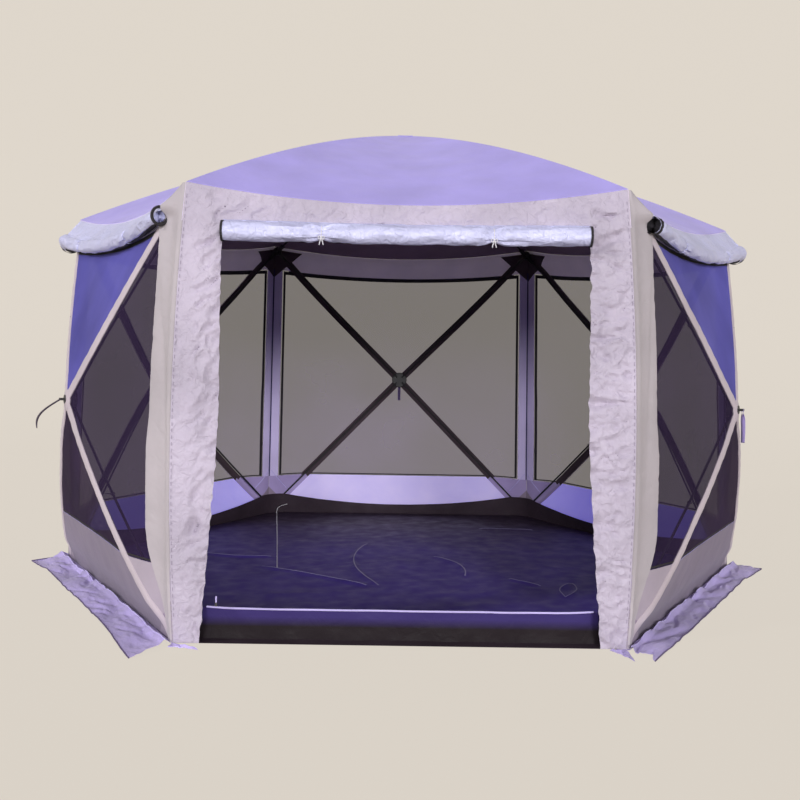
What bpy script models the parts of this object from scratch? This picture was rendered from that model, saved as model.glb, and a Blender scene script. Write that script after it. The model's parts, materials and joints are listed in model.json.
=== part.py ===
"""Six-sided pop-up kitchen tent: sprung hub frame, mesh walls, roof, tub floor and an open doorway.

Metres, +Z up. The origin is on the ground at the tent's centre, and the doorway faces -Y.
Corners are counted anticlockwise seen from above, from the doorway's left post, and wall
number i runs from corner i to corner i + 1, so wall 0 is the doorway.
"""

import math

import bmesh
import bpy
from mathutils import Matrix, Vector

# Overall shape
BASE_RADIUS = 1.80  # centre to corner on the ground, which is also the length of a side
CORNER_LEAN_IN = 0.070  # each corner stands this much nearer the centre at the eaves
EAVES_HEIGHT = 1.82
ROOF_RISE = 0.474  # eaves corner to peak
EAVES_SAG = 0.075  # the eaves seam hangs this much lower at the middle of a side
EAVES_DRAW_IN = 0.020  # and is pulled this much towards the centre there
RIDGE_BOW = 0.050  # the roof's ridges bow up by this much
HUB_BULGE = 0.245  # a wall's hub stands this far outside the wall's flat plane
CLOTH_BOW = 0.012  # wall cloth over an arm stands up by this much half way along it
CLOTH_BELLY = 0.020  # extra belly in the lower half of a wall
POST_BOW = 0.055  # the doorway's two corner posts bow out by this much
SIDES = 6

# Cloth and gaps
CLOTH = 0.002
SEAM_GAP = 0.0004  # between pieces that are sewn or laid together
RUNNING_GAP = 0.0005  # each side of a part that turns or slides
GORE_HOLLOW_SHARE = 0.35  # share of the ridge bow that a roof gore loses half way across
WALL_EASE_SHARE = 0.15  # outer share of a wall over which its bulge starts gently
SAG_POWER = 4  # how quickly the eaves sag fades down the wall
POST_BOW_POWER = 2  # how quickly a post's bow fades towards a wall's middle

# Poles
POLE_DIAMETER = 0.011
POLE_SIDES = 8
PIN_SIDES = 6
WALL_POLE_BOW = 0.012
ROOF_POLE_BOW = 0.030
POLE_SEGMENTS = 3
EYE_RADIUS = 0.0080  # flattened eye on a pole's hub end
EYE_WIDTH = 0.009
PIN_RADIUS = 0.0022  # rivet through the eye

# Hubs
WALL_HUB_RADIUS = 0.052
ROOF_HUB_RADIUS = 0.070
HUB_THICKNESS = 0.024
HUB_RIM_ROUNDING = 0.004
HUB_CLEAR = 0.004  # under the cloth
HUB_SIDES = 16
WALL_PIVOT_RADIUS = 0.034  # hub centre to rivet
ROOF_PIVOT_RADIUS = 0.052
SLOT_FLOOR_CLEAR = 0.003  # past the eye, towards the hub's centre
STUD_RADIUS = 0.0060  # bolt through the wall cloth
STUD_HOLE_CLEAR = 0.0010
WASHER_RADIUS = 0.020
WASHER_THICKNESS = 0.003
LUG_LENGTH = 0.016  # from the washer to the strap's bar
LUG_THICKNESS = 0.003
LUG_WIDTH = 0.010
ROUND_SIDES = 10

# Pull straps
STRAP_LENGTH = 0.150
STRAP_WIDTH = 0.020
STRAP_THICKNESS = 0.002
STRAP_LOOP_RADIUS = 0.0050

# Corner joints and foot pockets
JOINT_INSET = 0.045  # cloth corner to the middle of the joint, towards the centre
JOINT_DROP = 0.035  # eaves to the middle of the joint
JOINT_RADIUS = 0.030
JOINT_SIDES = 10
ARM_CHEEK = 0.0035
ARM_DEPTH = 0.020
ARM_GRIP = 0.022  # length of pole tip that an arm holds
SLOT_SET = 0.016  # middle of the joint to the bottom of a slot
TIP_CLEAR = 0.010  # slot left behind a pole's tip once its hub is pushed in

# Hub travel from rest to pushed in, which the slots leave room for
WALL_HUB_TRAVEL = 0.210
ROOF_HUB_TRAVEL = 0.280

# Floor tub
FLOOR_THICKNESS = 0.002
RIM_INSET = 0.062  # wall plane to the tub's upright rim
RIM_THICKNESS = 0.003
RIM_CORNER_RADIUS = 0.150
RIM_HEIGHT_CORNER = 0.130
RIM_HEIGHT_MIDDLE = 0.065
SILL_HEIGHT = 0.122
RIM_STEPS = 6  # per straight side
RIM_CORNER_STEPS = 3

# Ground flaps
FLAP_WIDTH = 0.185
FLAP_RISE = 0.012  # height of a flap's crumpled outer part
FLAP_THICKNESS = 0.0025
FLAP_FLARE = 0.070  # past the doorway's posts
FLAP_STEPS = 8

# Doorway
HEAD_HEIGHT = 1.665  # ground to the doorway's top edge, which is level
JAMB_WIDTH_TOP = 0.150
JAMB_WIDTH_MIDDLE = 0.172
JAMB_WIDTH_FOOT = 0.101
JAMB_ROWS = 10
JAMB_COLUMNS = 2
HEADER_ROWS = 2
HEADER_COLUMNS = 8
HEAD_TRIES = 4  # steps to find the grid's share of the eaves height at HEAD_HEIGHT
DOOR_ROLL_RADIUS = 0.0385
DOOR_ROLL_SAG = 0.004
DOOR_ROLL_SEAM = 0.012  # doorway's top edge to the seam that the roll hangs by

# Rolled window covers
COVER_ROLL_RADIUS = 0.036
COVER_ROLL_DROP = 0.084  # seam to the roll's top
COVER_ROLL_CLEAR = 0.006
COVER_ROLL_SHORT = 0.105  # roll's end to the wall's corner
COVER_ROLL_PAST = 0.080  # past the wide corners, on the two walls beside the doorway
ROLL_SIDES = 10
ROLL_TIES_SHARES = (0.25, 0.75)  # where ties draw the roll in
TIE_PINCH = 0.007

# Zip sliders
SLIDER_LENGTH = 0.014
SLIDER_WIDTH = 0.010
SLIDER_THICKNESS = 0.006
SLIDER_BEVEL = 0.0012
PULL_LENGTH = 0.024
PULL_WIDTH = 0.006
PULL_THICKNESS = 0.0015
SLIDER_FROM_CORNER = 0.062
SLIDER_HEIGHT_LEFT = 0.478
SLIDER_HEIGHT_RIGHT = 0.462

# Mesh fineness
WALL_CELLS = 8
ROOF_RINGS = 5

WALL_NAMES = (
    "door",
    "right_front",
    "right_rear",
    "rear",
    "left_rear",
    "left_front",
)
CORNER_NAMES = (
    "front_left",
    "front_right",
    "wide_right",
    "rear_right",
    "rear_left",
    "wide_left",
)
MESH_WALLS = range(1, SIDES)
UP = Vector((0, 0, 1))


def srgb(red, green, blue):
    """Linear colour with alpha from 0-255 screen values."""

    def linear(value):
        share = value / 255
        return share / 12.92 if share <= 0.04045 else ((share + 0.055) / 1.055) ** 2.4

    return (linear(red), linear(green), linear(blue), 1)


# name: (colour, roughness, metallic)
FINISHES = {
    "roof_cloth": (srgb(172, 158, 215), 0.75, 0),
    "wall_mesh": (srgb(74, 60, 82), 0.85, 0),
    "door_cloth": (srgb(205, 190, 213), 0.8, 0),
    "floor_sheet": (srgb(62, 52, 105), 0.35, 0),
    "flap_cloth": (srgb(175, 160, 210), 0.8, 0),
    "cover_cloth": (srgb(222, 224, 236), 0.7, 0),
    "hub_plastic": (srgb(28, 28, 30), 0.45, 0),
    "pole_glass_fibre": (srgb(22, 22, 24), 0.4, 0),
    "strap_webbing": (srgb(140, 125, 180), 0.85, 0),
    "zip_metal": (srgb(60, 58, 60), 0.35, 1),
}


def clear_scene():
    for item in list(bpy.data.objects):
        bpy.data.objects.remove(item, do_unlink=True)


def material(name):
    found = bpy.data.materials.get(name)
    if found:
        return found
    colour, roughness, metallic = FINISHES[name]
    made = bpy.data.materials.new(name)
    made.use_nodes = True
    shader = made.node_tree.nodes["Principled BSDF"]
    shader.inputs["Base Color"].default_value = colour
    shader.inputs["Roughness"].default_value = roughness
    shader.inputs["Metallic"].default_value = metallic
    made.diffuse_color = colour
    return made


def mesh_from(name, points, faces):
    mesh = bpy.data.meshes.new(name)
    mesh.from_pydata([tuple(p) for p in points], [], faces)
    bm = bmesh.new()
    bm.from_mesh(mesh)
    bmesh.ops.recalc_face_normals(bm, faces=bm.faces)
    bm.to_mesh(mesh)
    bm.free()
    return mesh


def place(name, mesh, finish, matrix=None):
    """Adds an object named after its node, with its own material."""
    item = bpy.data.objects.new(name, mesh)
    bpy.context.collection.objects.link(item)
    if matrix is not None:
        item.matrix_world = matrix
    if not mesh.materials:
        mesh.materials.append(material(finish))
    mesh.shade_smooth()
    mesh.set_sharp_from_angle(angle=math.radians(35))
    return item


def combine(base, tool, operation):
    """The first mesh joined to or cut by the second, as a new mesh."""
    holder = bpy.data.objects.new("holder", base)
    other = bpy.data.objects.new("tool", tool)
    bpy.context.collection.objects.link(holder)
    bpy.context.collection.objects.link(other)
    change = holder.modifiers.new("change", "BOOLEAN")
    change.operation = operation
    change.solver = "EXACT"
    change.object = other
    bpy.context.view_layer.update()
    graph = bpy.context.evaluated_depsgraph_get()
    result = bpy.data.meshes.new_from_object(holder.evaluated_get(graph))
    bpy.data.objects.remove(holder, do_unlink=True)
    bpy.data.objects.remove(other, do_unlink=True)
    return result


def cylinder(radius, start, end, sides=ROUND_SIDES):
    """A closed round bar between two points."""
    along = Vector(end) - Vector(start)
    turn = along.to_track_quat("Z", "Y").to_matrix().to_4x4()
    middle = Matrix.Translation((Vector(start) + Vector(end)) / 2)
    bm = bmesh.new()
    bmesh.ops.create_cone(
        bm,
        cap_ends=True,
        segments=sides,
        radius1=radius,
        radius2=radius,
        depth=along.length,
        matrix=middle @ turn,
    )
    return finished(bm)


def box(low, high, matrix=None):
    """A closed box between two corners, in the frame of the matrix."""
    low, high = Vector(low), Vector(high)
    size = high - low
    fit = Matrix.Translation((low + high) / 2) @ Matrix.Diagonal((*size, 1))
    bm = bmesh.new()
    bmesh.ops.create_cube(bm, size=1, matrix=(matrix or Matrix()) @ fit)
    return finished(bm)


def finished(bm):
    mesh = bpy.data.meshes.new("piece")
    bmesh.ops.recalc_face_normals(bm, faces=bm.faces)
    bm.to_mesh(mesh)
    bm.free()
    return mesh


def frame_matrix(origin, x_axis, y_axis):
    """Right-handed frame from an origin and two directions."""
    x_axis = Vector(x_axis).normalized()
    z_axis = x_axis.cross(Vector(y_axis)).normalized()
    y_axis = z_axis.cross(x_axis)
    turn = Matrix((x_axis, y_axis, z_axis)).transposed().to_4x4()
    return Matrix.Translation(origin) @ turn


# The tent's surface


def corner_angle(corner):
    return math.radians(240 + 360 / SIDES * corner)


def corner_direction(corner):
    angle = corner_angle(corner)
    return Vector((math.cos(angle), math.sin(angle), 0))


def arch(share):
    """0 at both ends and 1 half way."""
    return 4 * share * (1 - share)


def corner_point(corner, rise):
    """Cloth corner at a share of the eaves height, with its post straight."""
    reach = BASE_RADIUS - CORNER_LEAN_IN * rise
    return corner_direction(corner) * reach + UP * EAVES_HEIGHT * rise


def post_bow(corner, rise):
    """How far the cloth corner bows out, which only the doorway's two posts do."""
    bowed = POST_BOW * arch(rise) if corner % SIDES in (0, 1) else 0
    return corner_direction(corner) * bowed


def wall_axes(wall):
    """Along the wall anticlockwise, up the wall, and out of it."""
    start = corner_direction(wall)
    end = corner_direction(wall + 1)
    along = (end - start).normalized()
    middle = (start + end) / 2
    upward = (UP * EAVES_HEIGHT - middle * CORNER_LEAN_IN).normalized()
    return along, upward, along.cross(upward)


def flat_outward(wall):
    """Level direction out of a wall."""
    _, _, outward = wall_axes(wall)
    return Vector((outward.x, outward.y, 0)).normalized()


def half_width(rise):
    return (BASE_RADIUS - CORNER_LEAN_IN * rise) / 2


def bulge(across, rise):
    """Height of a hub wall's cloth over its flat plane. across is -1 to 1 and rise 0 to 1."""
    level = 2 * rise - 1
    share = 1 - max(abs(across), abs(level))
    ease = min(share / WALL_EASE_SHARE, 1)
    gentle = ease * ease * (3 - 2 * ease)
    stand = CLOTH_BOW
    if level < 0:
        stand += CLOTH_BELLY * min(-level / WALL_EASE_SHARE, 1)
    return (HUB_BULGE * share + stand * arch(share)) * gentle


def wall_point(wall, across, rise, lift=0.0):
    """A point of the wall's cloth, lifted out of the wall by a length."""
    mitre = CLOTH * math.tan(math.pi / SIDES) + SEAM_GAP / 2
    across *= 1 - mitre / half_width(rise)
    start = corner_point(wall, rise)
    end = corner_point(wall + 1, rise)
    _, _, outward = wall_axes(wall)
    point = start.lerp(end, (1 + across) / 2)
    point += post_bow(wall, rise) * max(-across, 0) ** POST_BOW_POWER
    point += post_bow(wall + 1, rise) * max(across, 0) ** POST_BOW_POWER
    sag = (1 - across * across) * rise**SAG_POWER
    point -= UP * EAVES_SAG * sag + flat_outward(wall) * EAVES_DRAW_IN * sag
    height = bulge(across, rise) if wall % SIDES in MESH_WALLS else 0
    return point + outward * (height + lift)


def foot_share():
    """Share of the eaves height at which a wall's lower edge meets the floor."""
    return (FLOOR_THICKNESS + SEAM_GAP) / EAVES_HEIGHT


def panel_places():
    """Places across a hub wall where its panel has points, -1 to 1."""
    return [2 * column / WALL_CELLS - 1 for column in range(WALL_CELLS + 1)]


def panel_rises():
    foot = foot_share()
    return [foot + (1 - foot) * row / WALL_CELLS for row in range(WALL_CELLS + 1)]


def seam_places(wall):
    """Places across any wall where the eaves seam bends."""
    if wall % SIDES in MESH_WALLS:
        return panel_places()
    return [door_across(column, 1) for column in range(door_columns() + 1)]


def panel_point(wall, across, rise, lift=0.0):
    """A point of a hub wall's panel as built, flat between its rows and columns."""
    places, rises = panel_places(), panel_rises()
    column = min(int((across + 1) / 2 * WALL_CELLS), WALL_CELLS - 1)
    row = min(int((rise - rises[0]) / (1 - rises[0]) * WALL_CELLS), WALL_CELLS - 1)
    a, b = (wall_point(wall, places[column + n], rises[row], lift) for n in (0, 1))
    d, e = (wall_point(wall, places[column + n], rises[row + 1], lift) for n in (0, 1))
    side = (across - places[column]) / (places[column + 1] - places[column])
    rest = (rise - rises[row]) / (rises[row + 1] - rises[row])
    if split_rising(row, column, WALL_CELLS, WALL_CELLS):
        if rest <= side:
            return a + (b - a) * side + (e - b) * rest
        return a + (d - a) * rest + (e - d) * side
    if side + rest <= 1:
        return a + (b - a) * side + (d - a) * rest
    return e + (d - e) * (1 - side) + (b - e) * (1 - rest)


def split_rising(row, column, rows, columns):
    """Whether a cell is split from its low left to its high right, towards the middle."""
    return (2 * row + 1 - rows) * (2 * column + 1 - columns) >= 0


def peak():
    return EAVES_HEIGHT + ROOF_RISE


def roof_point(gore, across, run):
    """Top of the roof cloth. run is 0 at the eaves and 1 at the peak."""
    seam = wall_point(gore, across, 1) + UP * (CLOTH + SEAM_GAP)
    height = seam.z + (peak() - seam.z) * run
    height += RIDGE_BOW * arch(run) * (1 - GORE_HOLLOW_SHARE * (1 - across * across))
    return Vector((seam.x * (1 - run), seam.y * (1 - run), height))


# Where the frame's pieces sit


def eaves_joint(corner):
    reach = BASE_RADIUS - CORNER_LEAN_IN - JOINT_INSET
    return corner_direction(corner) * reach + UP * (EAVES_HEIGHT - JOINT_DROP)


def foot_joint(corner):
    reach = BASE_RADIUS - JOINT_INSET
    return corner_direction(corner) * reach + UP * (JOINT_RADIUS + FLOOR_THICKNESS / 2)


def hub_dome_height():
    """The wall cloth falls this far from its peak to the hub's rim, and the hub's dome fills it."""
    return HUB_BULGE * WALL_HUB_RADIUS / half_width(0.5)


def wall_hub_set_in():
    return CLOTH + HUB_CLEAR + hub_dome_height() + HUB_THICKNESS / 2


def wall_hub_frame(wall):
    """Hub's frame: x along the wall, y up it, z out of it."""
    along, upward, outward = wall_axes(wall)
    set_in = wall_hub_set_in()
    flat_middle = (eaves_plane_middle(wall) + foot_plane_middle(wall)) / 2
    return frame_matrix(flat_middle + outward * (HUB_BULGE - set_in), along, upward)


def eaves_plane_middle(wall):
    reach = BASE_RADIUS - CORNER_LEAN_IN
    middle = (corner_direction(wall) + corner_direction(wall + 1)) / 2
    return middle * reach + UP * EAVES_HEIGHT


def foot_plane_middle(wall):
    middle = (corner_direction(wall) + corner_direction(wall + 1)) / 2
    return middle * BASE_RADIUS


def roof_hub_frame():
    """The roof cloth falls away from its peak, so the hub sits low enough to clear it at its rim."""
    ring = roof_point(0, 0, 1 - 1 / ROOF_RINGS)
    fall = (peak() - ring.z) * ROOF_HUB_RADIUS / Vector((ring.x, ring.y)).length
    set_in = CLOTH + HUB_CLEAR + fall + HUB_THICKNESS / 2
    return Matrix.Translation(UP * (peak() - set_in))


def pole_frame(hub_matrix, joint_point, pivot_radius):
    """A pole's frame at rest: x from its rivet to its tip, y along the rivet, z outward."""
    outward = hub_matrix.col[2].to_3d()
    centre = hub_matrix.to_translation()
    towards = joint_point - centre
    towards -= outward * towards.dot(outward)
    towards.normalize()
    pivot = centre + towards * pivot_radius
    return frame_matrix(pivot, joint_point - pivot, outward.cross(towards))


def wall_pole_ends(wall):
    """(name, joint point) of the four arms of a wall's cross."""
    return (
        ("upper_a", eaves_joint(wall)),
        ("upper_b", eaves_joint(wall + 1)),
        ("lower_a", foot_joint(wall)),
        ("lower_b", foot_joint(wall + 1)),
    )


def tip_set(hub_matrix, joint_point, pivot_radius, travel):
    """Middle of a joint to a pole's tip. The tip slides inwards as the hub is pushed in."""
    pole = pole_frame(hub_matrix, joint_point, pivot_radius)
    reach = joint_point - pole.to_translation()
    height = -reach.dot(hub_matrix.col[2].to_3d())
    level = math.sqrt(reach.length_squared - height * height)
    closing = reach.length - math.hypot(level, height - travel)
    return SLOT_SET + TIP_CLEAR + closing


def wall_arm(wall, joint_point):
    """A wall pole's frame, and how far its tip stays from the joint's middle."""
    hub = wall_hub_frame(wall)
    frame = pole_frame(hub, joint_point, WALL_PIVOT_RADIUS)
    return frame, tip_set(hub, joint_point, WALL_PIVOT_RADIUS, WALL_HUB_TRAVEL)


def roof_arm(joint_point):
    """The same for a roof pole."""
    hub = roof_hub_frame()
    frame = pole_frame(hub, joint_point, ROOF_PIVOT_RADIUS)
    return frame, tip_set(hub, joint_point, ROOF_PIVOT_RADIUS, ROOF_HUB_TRAVEL)


def pole_length(matrix, joint_point, short_by):
    return (joint_point - matrix.to_translation()).length - short_by


# Pieces


def sheet_solid(name, outer, inner, rows, columns, kept=None):
    """A closed sheet from two grids of points, as lists of rows. kept says which cells exist."""
    points = [p for row in outer for p in row] + [p for row in inner for p in row]
    shift = len(points) // 2
    cells = [
        (r, c)
        for r in range(rows)
        for c in range(columns)
        if kept is None or kept(r, c)
    ]
    faces = []
    edges = {}
    for r, c in cells:
        a = r * (columns + 1) + c
        b, d = a + 1, a + columns + 1
        e = d + 1
        rising = split_rising(r, c, rows, columns)
        halves = ((a, b, e), (a, e, d)) if rising else ((a, b, d), (b, e, d))
        for one in halves:
            faces.append(one)
            faces.append(tuple(shift + p for p in reversed(one)))
        for side in ((a, b), (b, e), (e, d), (d, a)):
            key = frozenset(side)
            edges[key] = None if key in edges else side
    for side in edges.values():
        if side:
            p, q = side
            faces.append((q, p, shift + p))
            faces.append((q, shift + p, shift + q))
    used = sorted({p for face in faces for p in face})
    place_of = {p: n for n, p in enumerate(used)}
    return mesh_from(
        name,
        [points[p] for p in used],
        [tuple(place_of[p] for p in face) for face in faces],
    )


def make_wall_panels():
    """Mesh wall with its lower solid band, as one sewn sheet with a hole for the hub's bolt."""
    for wall in MESH_WALLS:
        grids = [
            [[wall_point(wall, u, v, lift) for u in panel_places()] for v in panel_rises()]
            for lift in (0, -CLOTH)
        ]
        name = f"wall_panel_{WALL_NAMES[wall]}"
        mesh = sheet_solid(name, *grids, WALL_CELLS, WALL_CELLS)
        hub = wall_hub_frame(wall)
        centre, outward = hub.to_translation(), hub.col[2].to_3d()
        hole = cylinder(
            STUD_RADIUS + STUD_HOLE_CLEAR,
            centre,
            centre + outward * HUB_BULGE,
        )
        place(name, combine(mesh, hole, "DIFFERENCE"), "wall_mesh")


def door_columns():
    return 2 * JAMB_COLUMNS + HEADER_COLUMNS


def door_across(column, rise):
    """Place across the doorway wall of a column of its grid, -1 to 1."""
    half = half_width(rise)
    upper = max(2 * rise - 1, 0)
    lower = max(1 - 2 * rise, 0)
    width = JAMB_WIDTH_MIDDLE
    width += (JAMB_WIDTH_TOP - JAMB_WIDTH_MIDDLE) * upper
    width += (JAMB_WIDTH_FOOT - JAMB_WIDTH_MIDDLE) * lower
    inner = 1 - width / half
    last = door_columns()
    if column <= JAMB_COLUMNS:
        return -1 + (1 - inner) * column / JAMB_COLUMNS
    if column >= last - JAMB_COLUMNS:
        return 1 - (1 - inner) * (last - column) / JAMB_COLUMNS
    return inner * (2 * (column - JAMB_COLUMNS) / HEADER_COLUMNS - 1)


def head_share(column):
    """Share of the eaves height at which a column of the doorway's grid is at HEAD_HEIGHT."""
    rise = HEAD_HEIGHT / EAVES_HEIGHT
    for _ in range(HEAD_TRIES):
        sag = (1 - door_across(column, rise) ** 2) * rise**SAG_POWER
        rise = (HEAD_HEIGHT + EAVES_SAG * sag) / EAVES_HEIGHT
    return rise


def door_rise(row, column):
    """Share of the eaves height of a point of the doorway's grid."""
    foot = foot_share()
    head = head_share(column)
    if row <= JAMB_ROWS:
        return foot + (head - foot) * row / JAMB_ROWS
    return head + (1 - head) * (row - JAMB_ROWS) / HEADER_ROWS


def door_point(row, column, lift):
    """Point of the doorway's cloth at a row and a column of its grid."""
    rise = door_rise(row, column)
    return wall_point(0, door_across(column, rise), rise, lift)


def make_door_wall():
    """Header and two jambs of the doorway, one sewn panel."""
    columns = door_columns()
    rows = JAMB_ROWS + HEADER_ROWS
    grids = [
        [[door_point(row, column, lift) for column in range(columns + 1)] for row in range(rows + 1)]
        for lift in (0, -CLOTH)
    ]

    def kept(row, column):
        return row >= JAMB_ROWS or not JAMB_COLUMNS <= column < columns - JAMB_COLUMNS

    mesh = sheet_solid("door_wall", *grids, rows, columns, kept)
    place("door_wall", mesh, "door_cloth")


def make_roof_canopy():
    """One sewn roof cloth with six ridges and a slack gore between each pair."""
    around = [(gore, across) for gore in range(SIDES) for across in seam_places(gore)]
    count = len(around)
    points = []
    for drop in (0, CLOTH):
        for ring in range(ROOF_RINGS):
            points += [roof_point(g, u, ring / ROOF_RINGS) - UP * drop for g, u in around]
        points.append(UP * (peak() - drop))
    shift = len(points) // 2
    faces = []
    for ring in range(ROOF_RINGS):
        for n in range(count):
            a = ring * count + n
            b = ring * count + (n + 1) % count
            if ring == ROOF_RINGS - 1:
                halves = [(a, b, shift - 1)]
            else:
                halves = [(a, b, b + count), (a, b + count, a + count)]
            for one in halves:
                faces.append(one)
                faces.append(tuple(shift + p for p in reversed(one)))
            if ring == 0:
                faces.append((b, a, shift + a))
                faces.append((b, shift + a, shift + b))
    place("roof_canopy", mesh_from("roof_canopy", points, faces), "roof_cloth")


def make_pole_mesh(name, length, bow):
    """A bowed pole along x with a riveted eye at its hub end, whose rivet runs along y."""
    radius = POLE_DIAMETER / 2
    half = Vector((0, EYE_WIDTH / 2, 0))
    flat_end = EYE_RADIUS * 3
    stations = [(EYE_RADIUS / 2, half.y), (flat_end, half.y)]
    for step in range(POLE_SEGMENTS + 1):
        start = flat_end + EYE_RADIUS
        stations.append((start + (length - start) * step / POLE_SEGMENTS, radius))
    points = []
    for along, half_width_y in stations:
        centre = Vector((along, 0, bow * arch(along / length)))
        for n in range(POLE_SIDES):
            turn = 2 * math.pi * (n + 0.5) / POLE_SIDES
            shape = Vector((0, math.cos(turn) * half_width_y, math.sin(turn) * radius))
            points.append(centre + shape)
    faces = [tuple(range(POLE_SIDES)), tuple(range(len(points) - POLE_SIDES, len(points)))]
    for step in range(len(stations) - 1):
        for n in range(POLE_SIDES):
            a = step * POLE_SIDES + n
            b = step * POLE_SIDES + (n + 1) % POLE_SIDES
            faces.append((a, b, b + POLE_SIDES, a + POLE_SIDES))
    shaft = mesh_from(name, points, faces)
    eye = cylinder(EYE_RADIUS, -half, half)
    joined = combine(shaft, eye, "UNION")
    bore = cylinder(PIN_RADIUS + RUNNING_GAP, -half * 2, half * 2, PIN_SIDES)
    mesh = combine(joined, bore, "DIFFERENCE")
    mesh.name = name
    return mesh


def make_hub_mesh(name, radius, pivot_radius, directions):
    """Hub disc with a slot and a rivet for each arm. directions are angles about z."""
    half = HUB_THICKNESS / 2
    disc = cylinder(radius, (0, 0, -half), (0, 0, half), HUB_SIDES)
    bm = bmesh.new()
    bm.from_mesh(disc)
    rims = [e for e in bm.edges if abs(e.verts[0].co.z - e.verts[1].co.z) < half]
    bmesh.ops.bevel(
        bm, geom=rims, offset=HUB_RIM_ROUNDING, segments=1, affect="EDGES"
    )
    disc = finished(bm)
    slot_half = EYE_WIDTH / 2 + RUNNING_GAP
    slot_start = pivot_radius - EYE_RADIUS - SLOT_FLOOR_CLEAR
    for turn in directions:
        spin = Matrix.Rotation(turn, 4, "Z")
        low = (slot_start, -slot_half, -HUB_THICKNESS)
        slot = box(low, (radius * 2, slot_half, HUB_THICKNESS), spin)
        disc = combine(disc, slot, "DIFFERENCE")
    reach = slot_half + PIN_RADIUS * 2
    for turn in directions:
        spin = Matrix.Rotation(turn, 4, "Z")
        start = spin @ Vector((pivot_radius, -reach, 0))
        end = spin @ Vector((pivot_radius, reach, 0))
        disc = combine(disc, cylinder(PIN_RADIUS, start, end, PIN_SIDES), "UNION")
    disc.name = name
    return disc


def strap_bar_height():
    """Hub centre to the bar that the pull strap hangs on, along the hub's z."""
    return wall_hub_set_in() + RUNNING_GAP + WASHER_THICKNESS + LUG_LENGTH


def add_strap_clevis(mesh):
    """Bolt, outer washer, two lugs and the strap's bar, on the hub's outer side."""
    half = HUB_THICKNESS / 2
    washer_low = wall_hub_set_in() + RUNNING_GAP
    washer_high = washer_low + WASHER_THICKNESS
    bar = strap_bar_height()
    overlap = WASHER_THICKNESS / 2
    dome = hub_dome_height() - HUB_CLEAR
    bm = bmesh.new()
    bmesh.ops.create_cone(
        bm,
        cap_ends=True,
        segments=HUB_SIDES,
        radius1=WALL_HUB_RADIUS - HUB_RIM_ROUNDING * 2,
        radius2=STUD_RADIUS * 2,
        depth=dome + overlap,
        matrix=Matrix.Translation((0, 0, half + (dome - overlap) / 2)),
    )
    mesh = combine(mesh, finished(bm), "UNION")
    stud_low = half + dome - overlap
    mesh = combine(
        mesh,
        cylinder(STUD_RADIUS, (0, 0, stud_low), (0, 0, washer_low + overlap)),
        "UNION",
    )
    mesh = combine(
        mesh, cylinder(WASHER_RADIUS, (0, 0, washer_low), (0, 0, washer_high)), "UNION"
    )
    inner = STRAP_WIDTH / 2 + RUNNING_GAP
    for side in (-1, 1):
        near, far = sorted((side * inner, side * (inner + LUG_THICKNESS)))
        lug = box(
            (near, -LUG_WIDTH / 2, washer_high - overlap),
            (far, LUG_WIDTH / 2, bar + LUG_WIDTH / 2),
        )
        mesh = combine(mesh, lug, "UNION")
    reach = inner + LUG_THICKNESS / 2
    pin = cylinder(PIN_RADIUS, (-reach, 0, bar), (reach, 0, bar), PIN_SIDES)
    return combine(mesh, pin, "UNION")


def make_strap_mesh():
    """Webbing loop round the bar, along x, with a flat tail hanging along -z."""
    half = Vector((STRAP_WIDTH / 2, 0, 0))
    loop = cylinder(STRAP_LOOP_RADIUS, -half, half)
    tail = box(
        (-half.x, -STRAP_THICKNESS / 2, -STRAP_LENGTH),
        (half.x, STRAP_THICKNESS / 2, -PIN_RADIUS),
    )
    joined = combine(loop, tail, "UNION")
    bore = cylinder(PIN_RADIUS + RUNNING_GAP, -half * 2, half * 2, PIN_SIDES)
    mesh = combine(joined, bore, "DIFFERENCE")
    mesh.name = "pull_strap"
    return mesh


def make_wall_crosses():
    """Five wall hubs, each with four riveted arms and a pull strap."""
    hub_mesh = None
    pole_meshes = {}
    strap_mesh = make_strap_mesh()
    for wall in MESH_WALLS:
        hub = wall_hub_frame(wall)
        name = WALL_NAMES[wall]
        to_hub = hub.inverted()
        if hub_mesh is None:
            turns = []
            for _, joint_point in wall_pole_ends(wall):
                local = to_hub @ joint_point
                turns.append(math.atan2(local.y, local.x))
            hub_mesh = make_hub_mesh(
                "wall_hub", WALL_HUB_RADIUS, WALL_PIVOT_RADIUS, turns
            )
            hub_mesh = add_strap_clevis(hub_mesh)
        place(f"wall_hub_{name}", hub_mesh, "hub_plastic", hub)
        for arm, joint_point in wall_pole_ends(wall):
            matrix, short_by = wall_arm(wall, joint_point)
            kind = arm.split("_")[0]
            if kind not in pole_meshes:
                length = pole_length(matrix, joint_point, short_by)
                pole_meshes[kind] = make_pole_mesh(
                    f"wall_pole_{kind}", length, WALL_POLE_BOW
                )
            place(f"wall_pole_{name}_{arm}", pole_meshes[kind], "pole_glass_fibre", matrix)
        place(f"pull_strap_{name}", strap_mesh, "strap_webbing", strap_frame(wall))


def strap_frame(wall):
    """The strap hangs straight down from its bar: x along the wall, z up."""
    hub = wall_hub_frame(wall)
    along = hub.col[0].to_3d()
    bar = hub @ Vector((0, 0, strap_bar_height()))
    return frame_matrix(bar, along, UP.cross(along))


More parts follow.
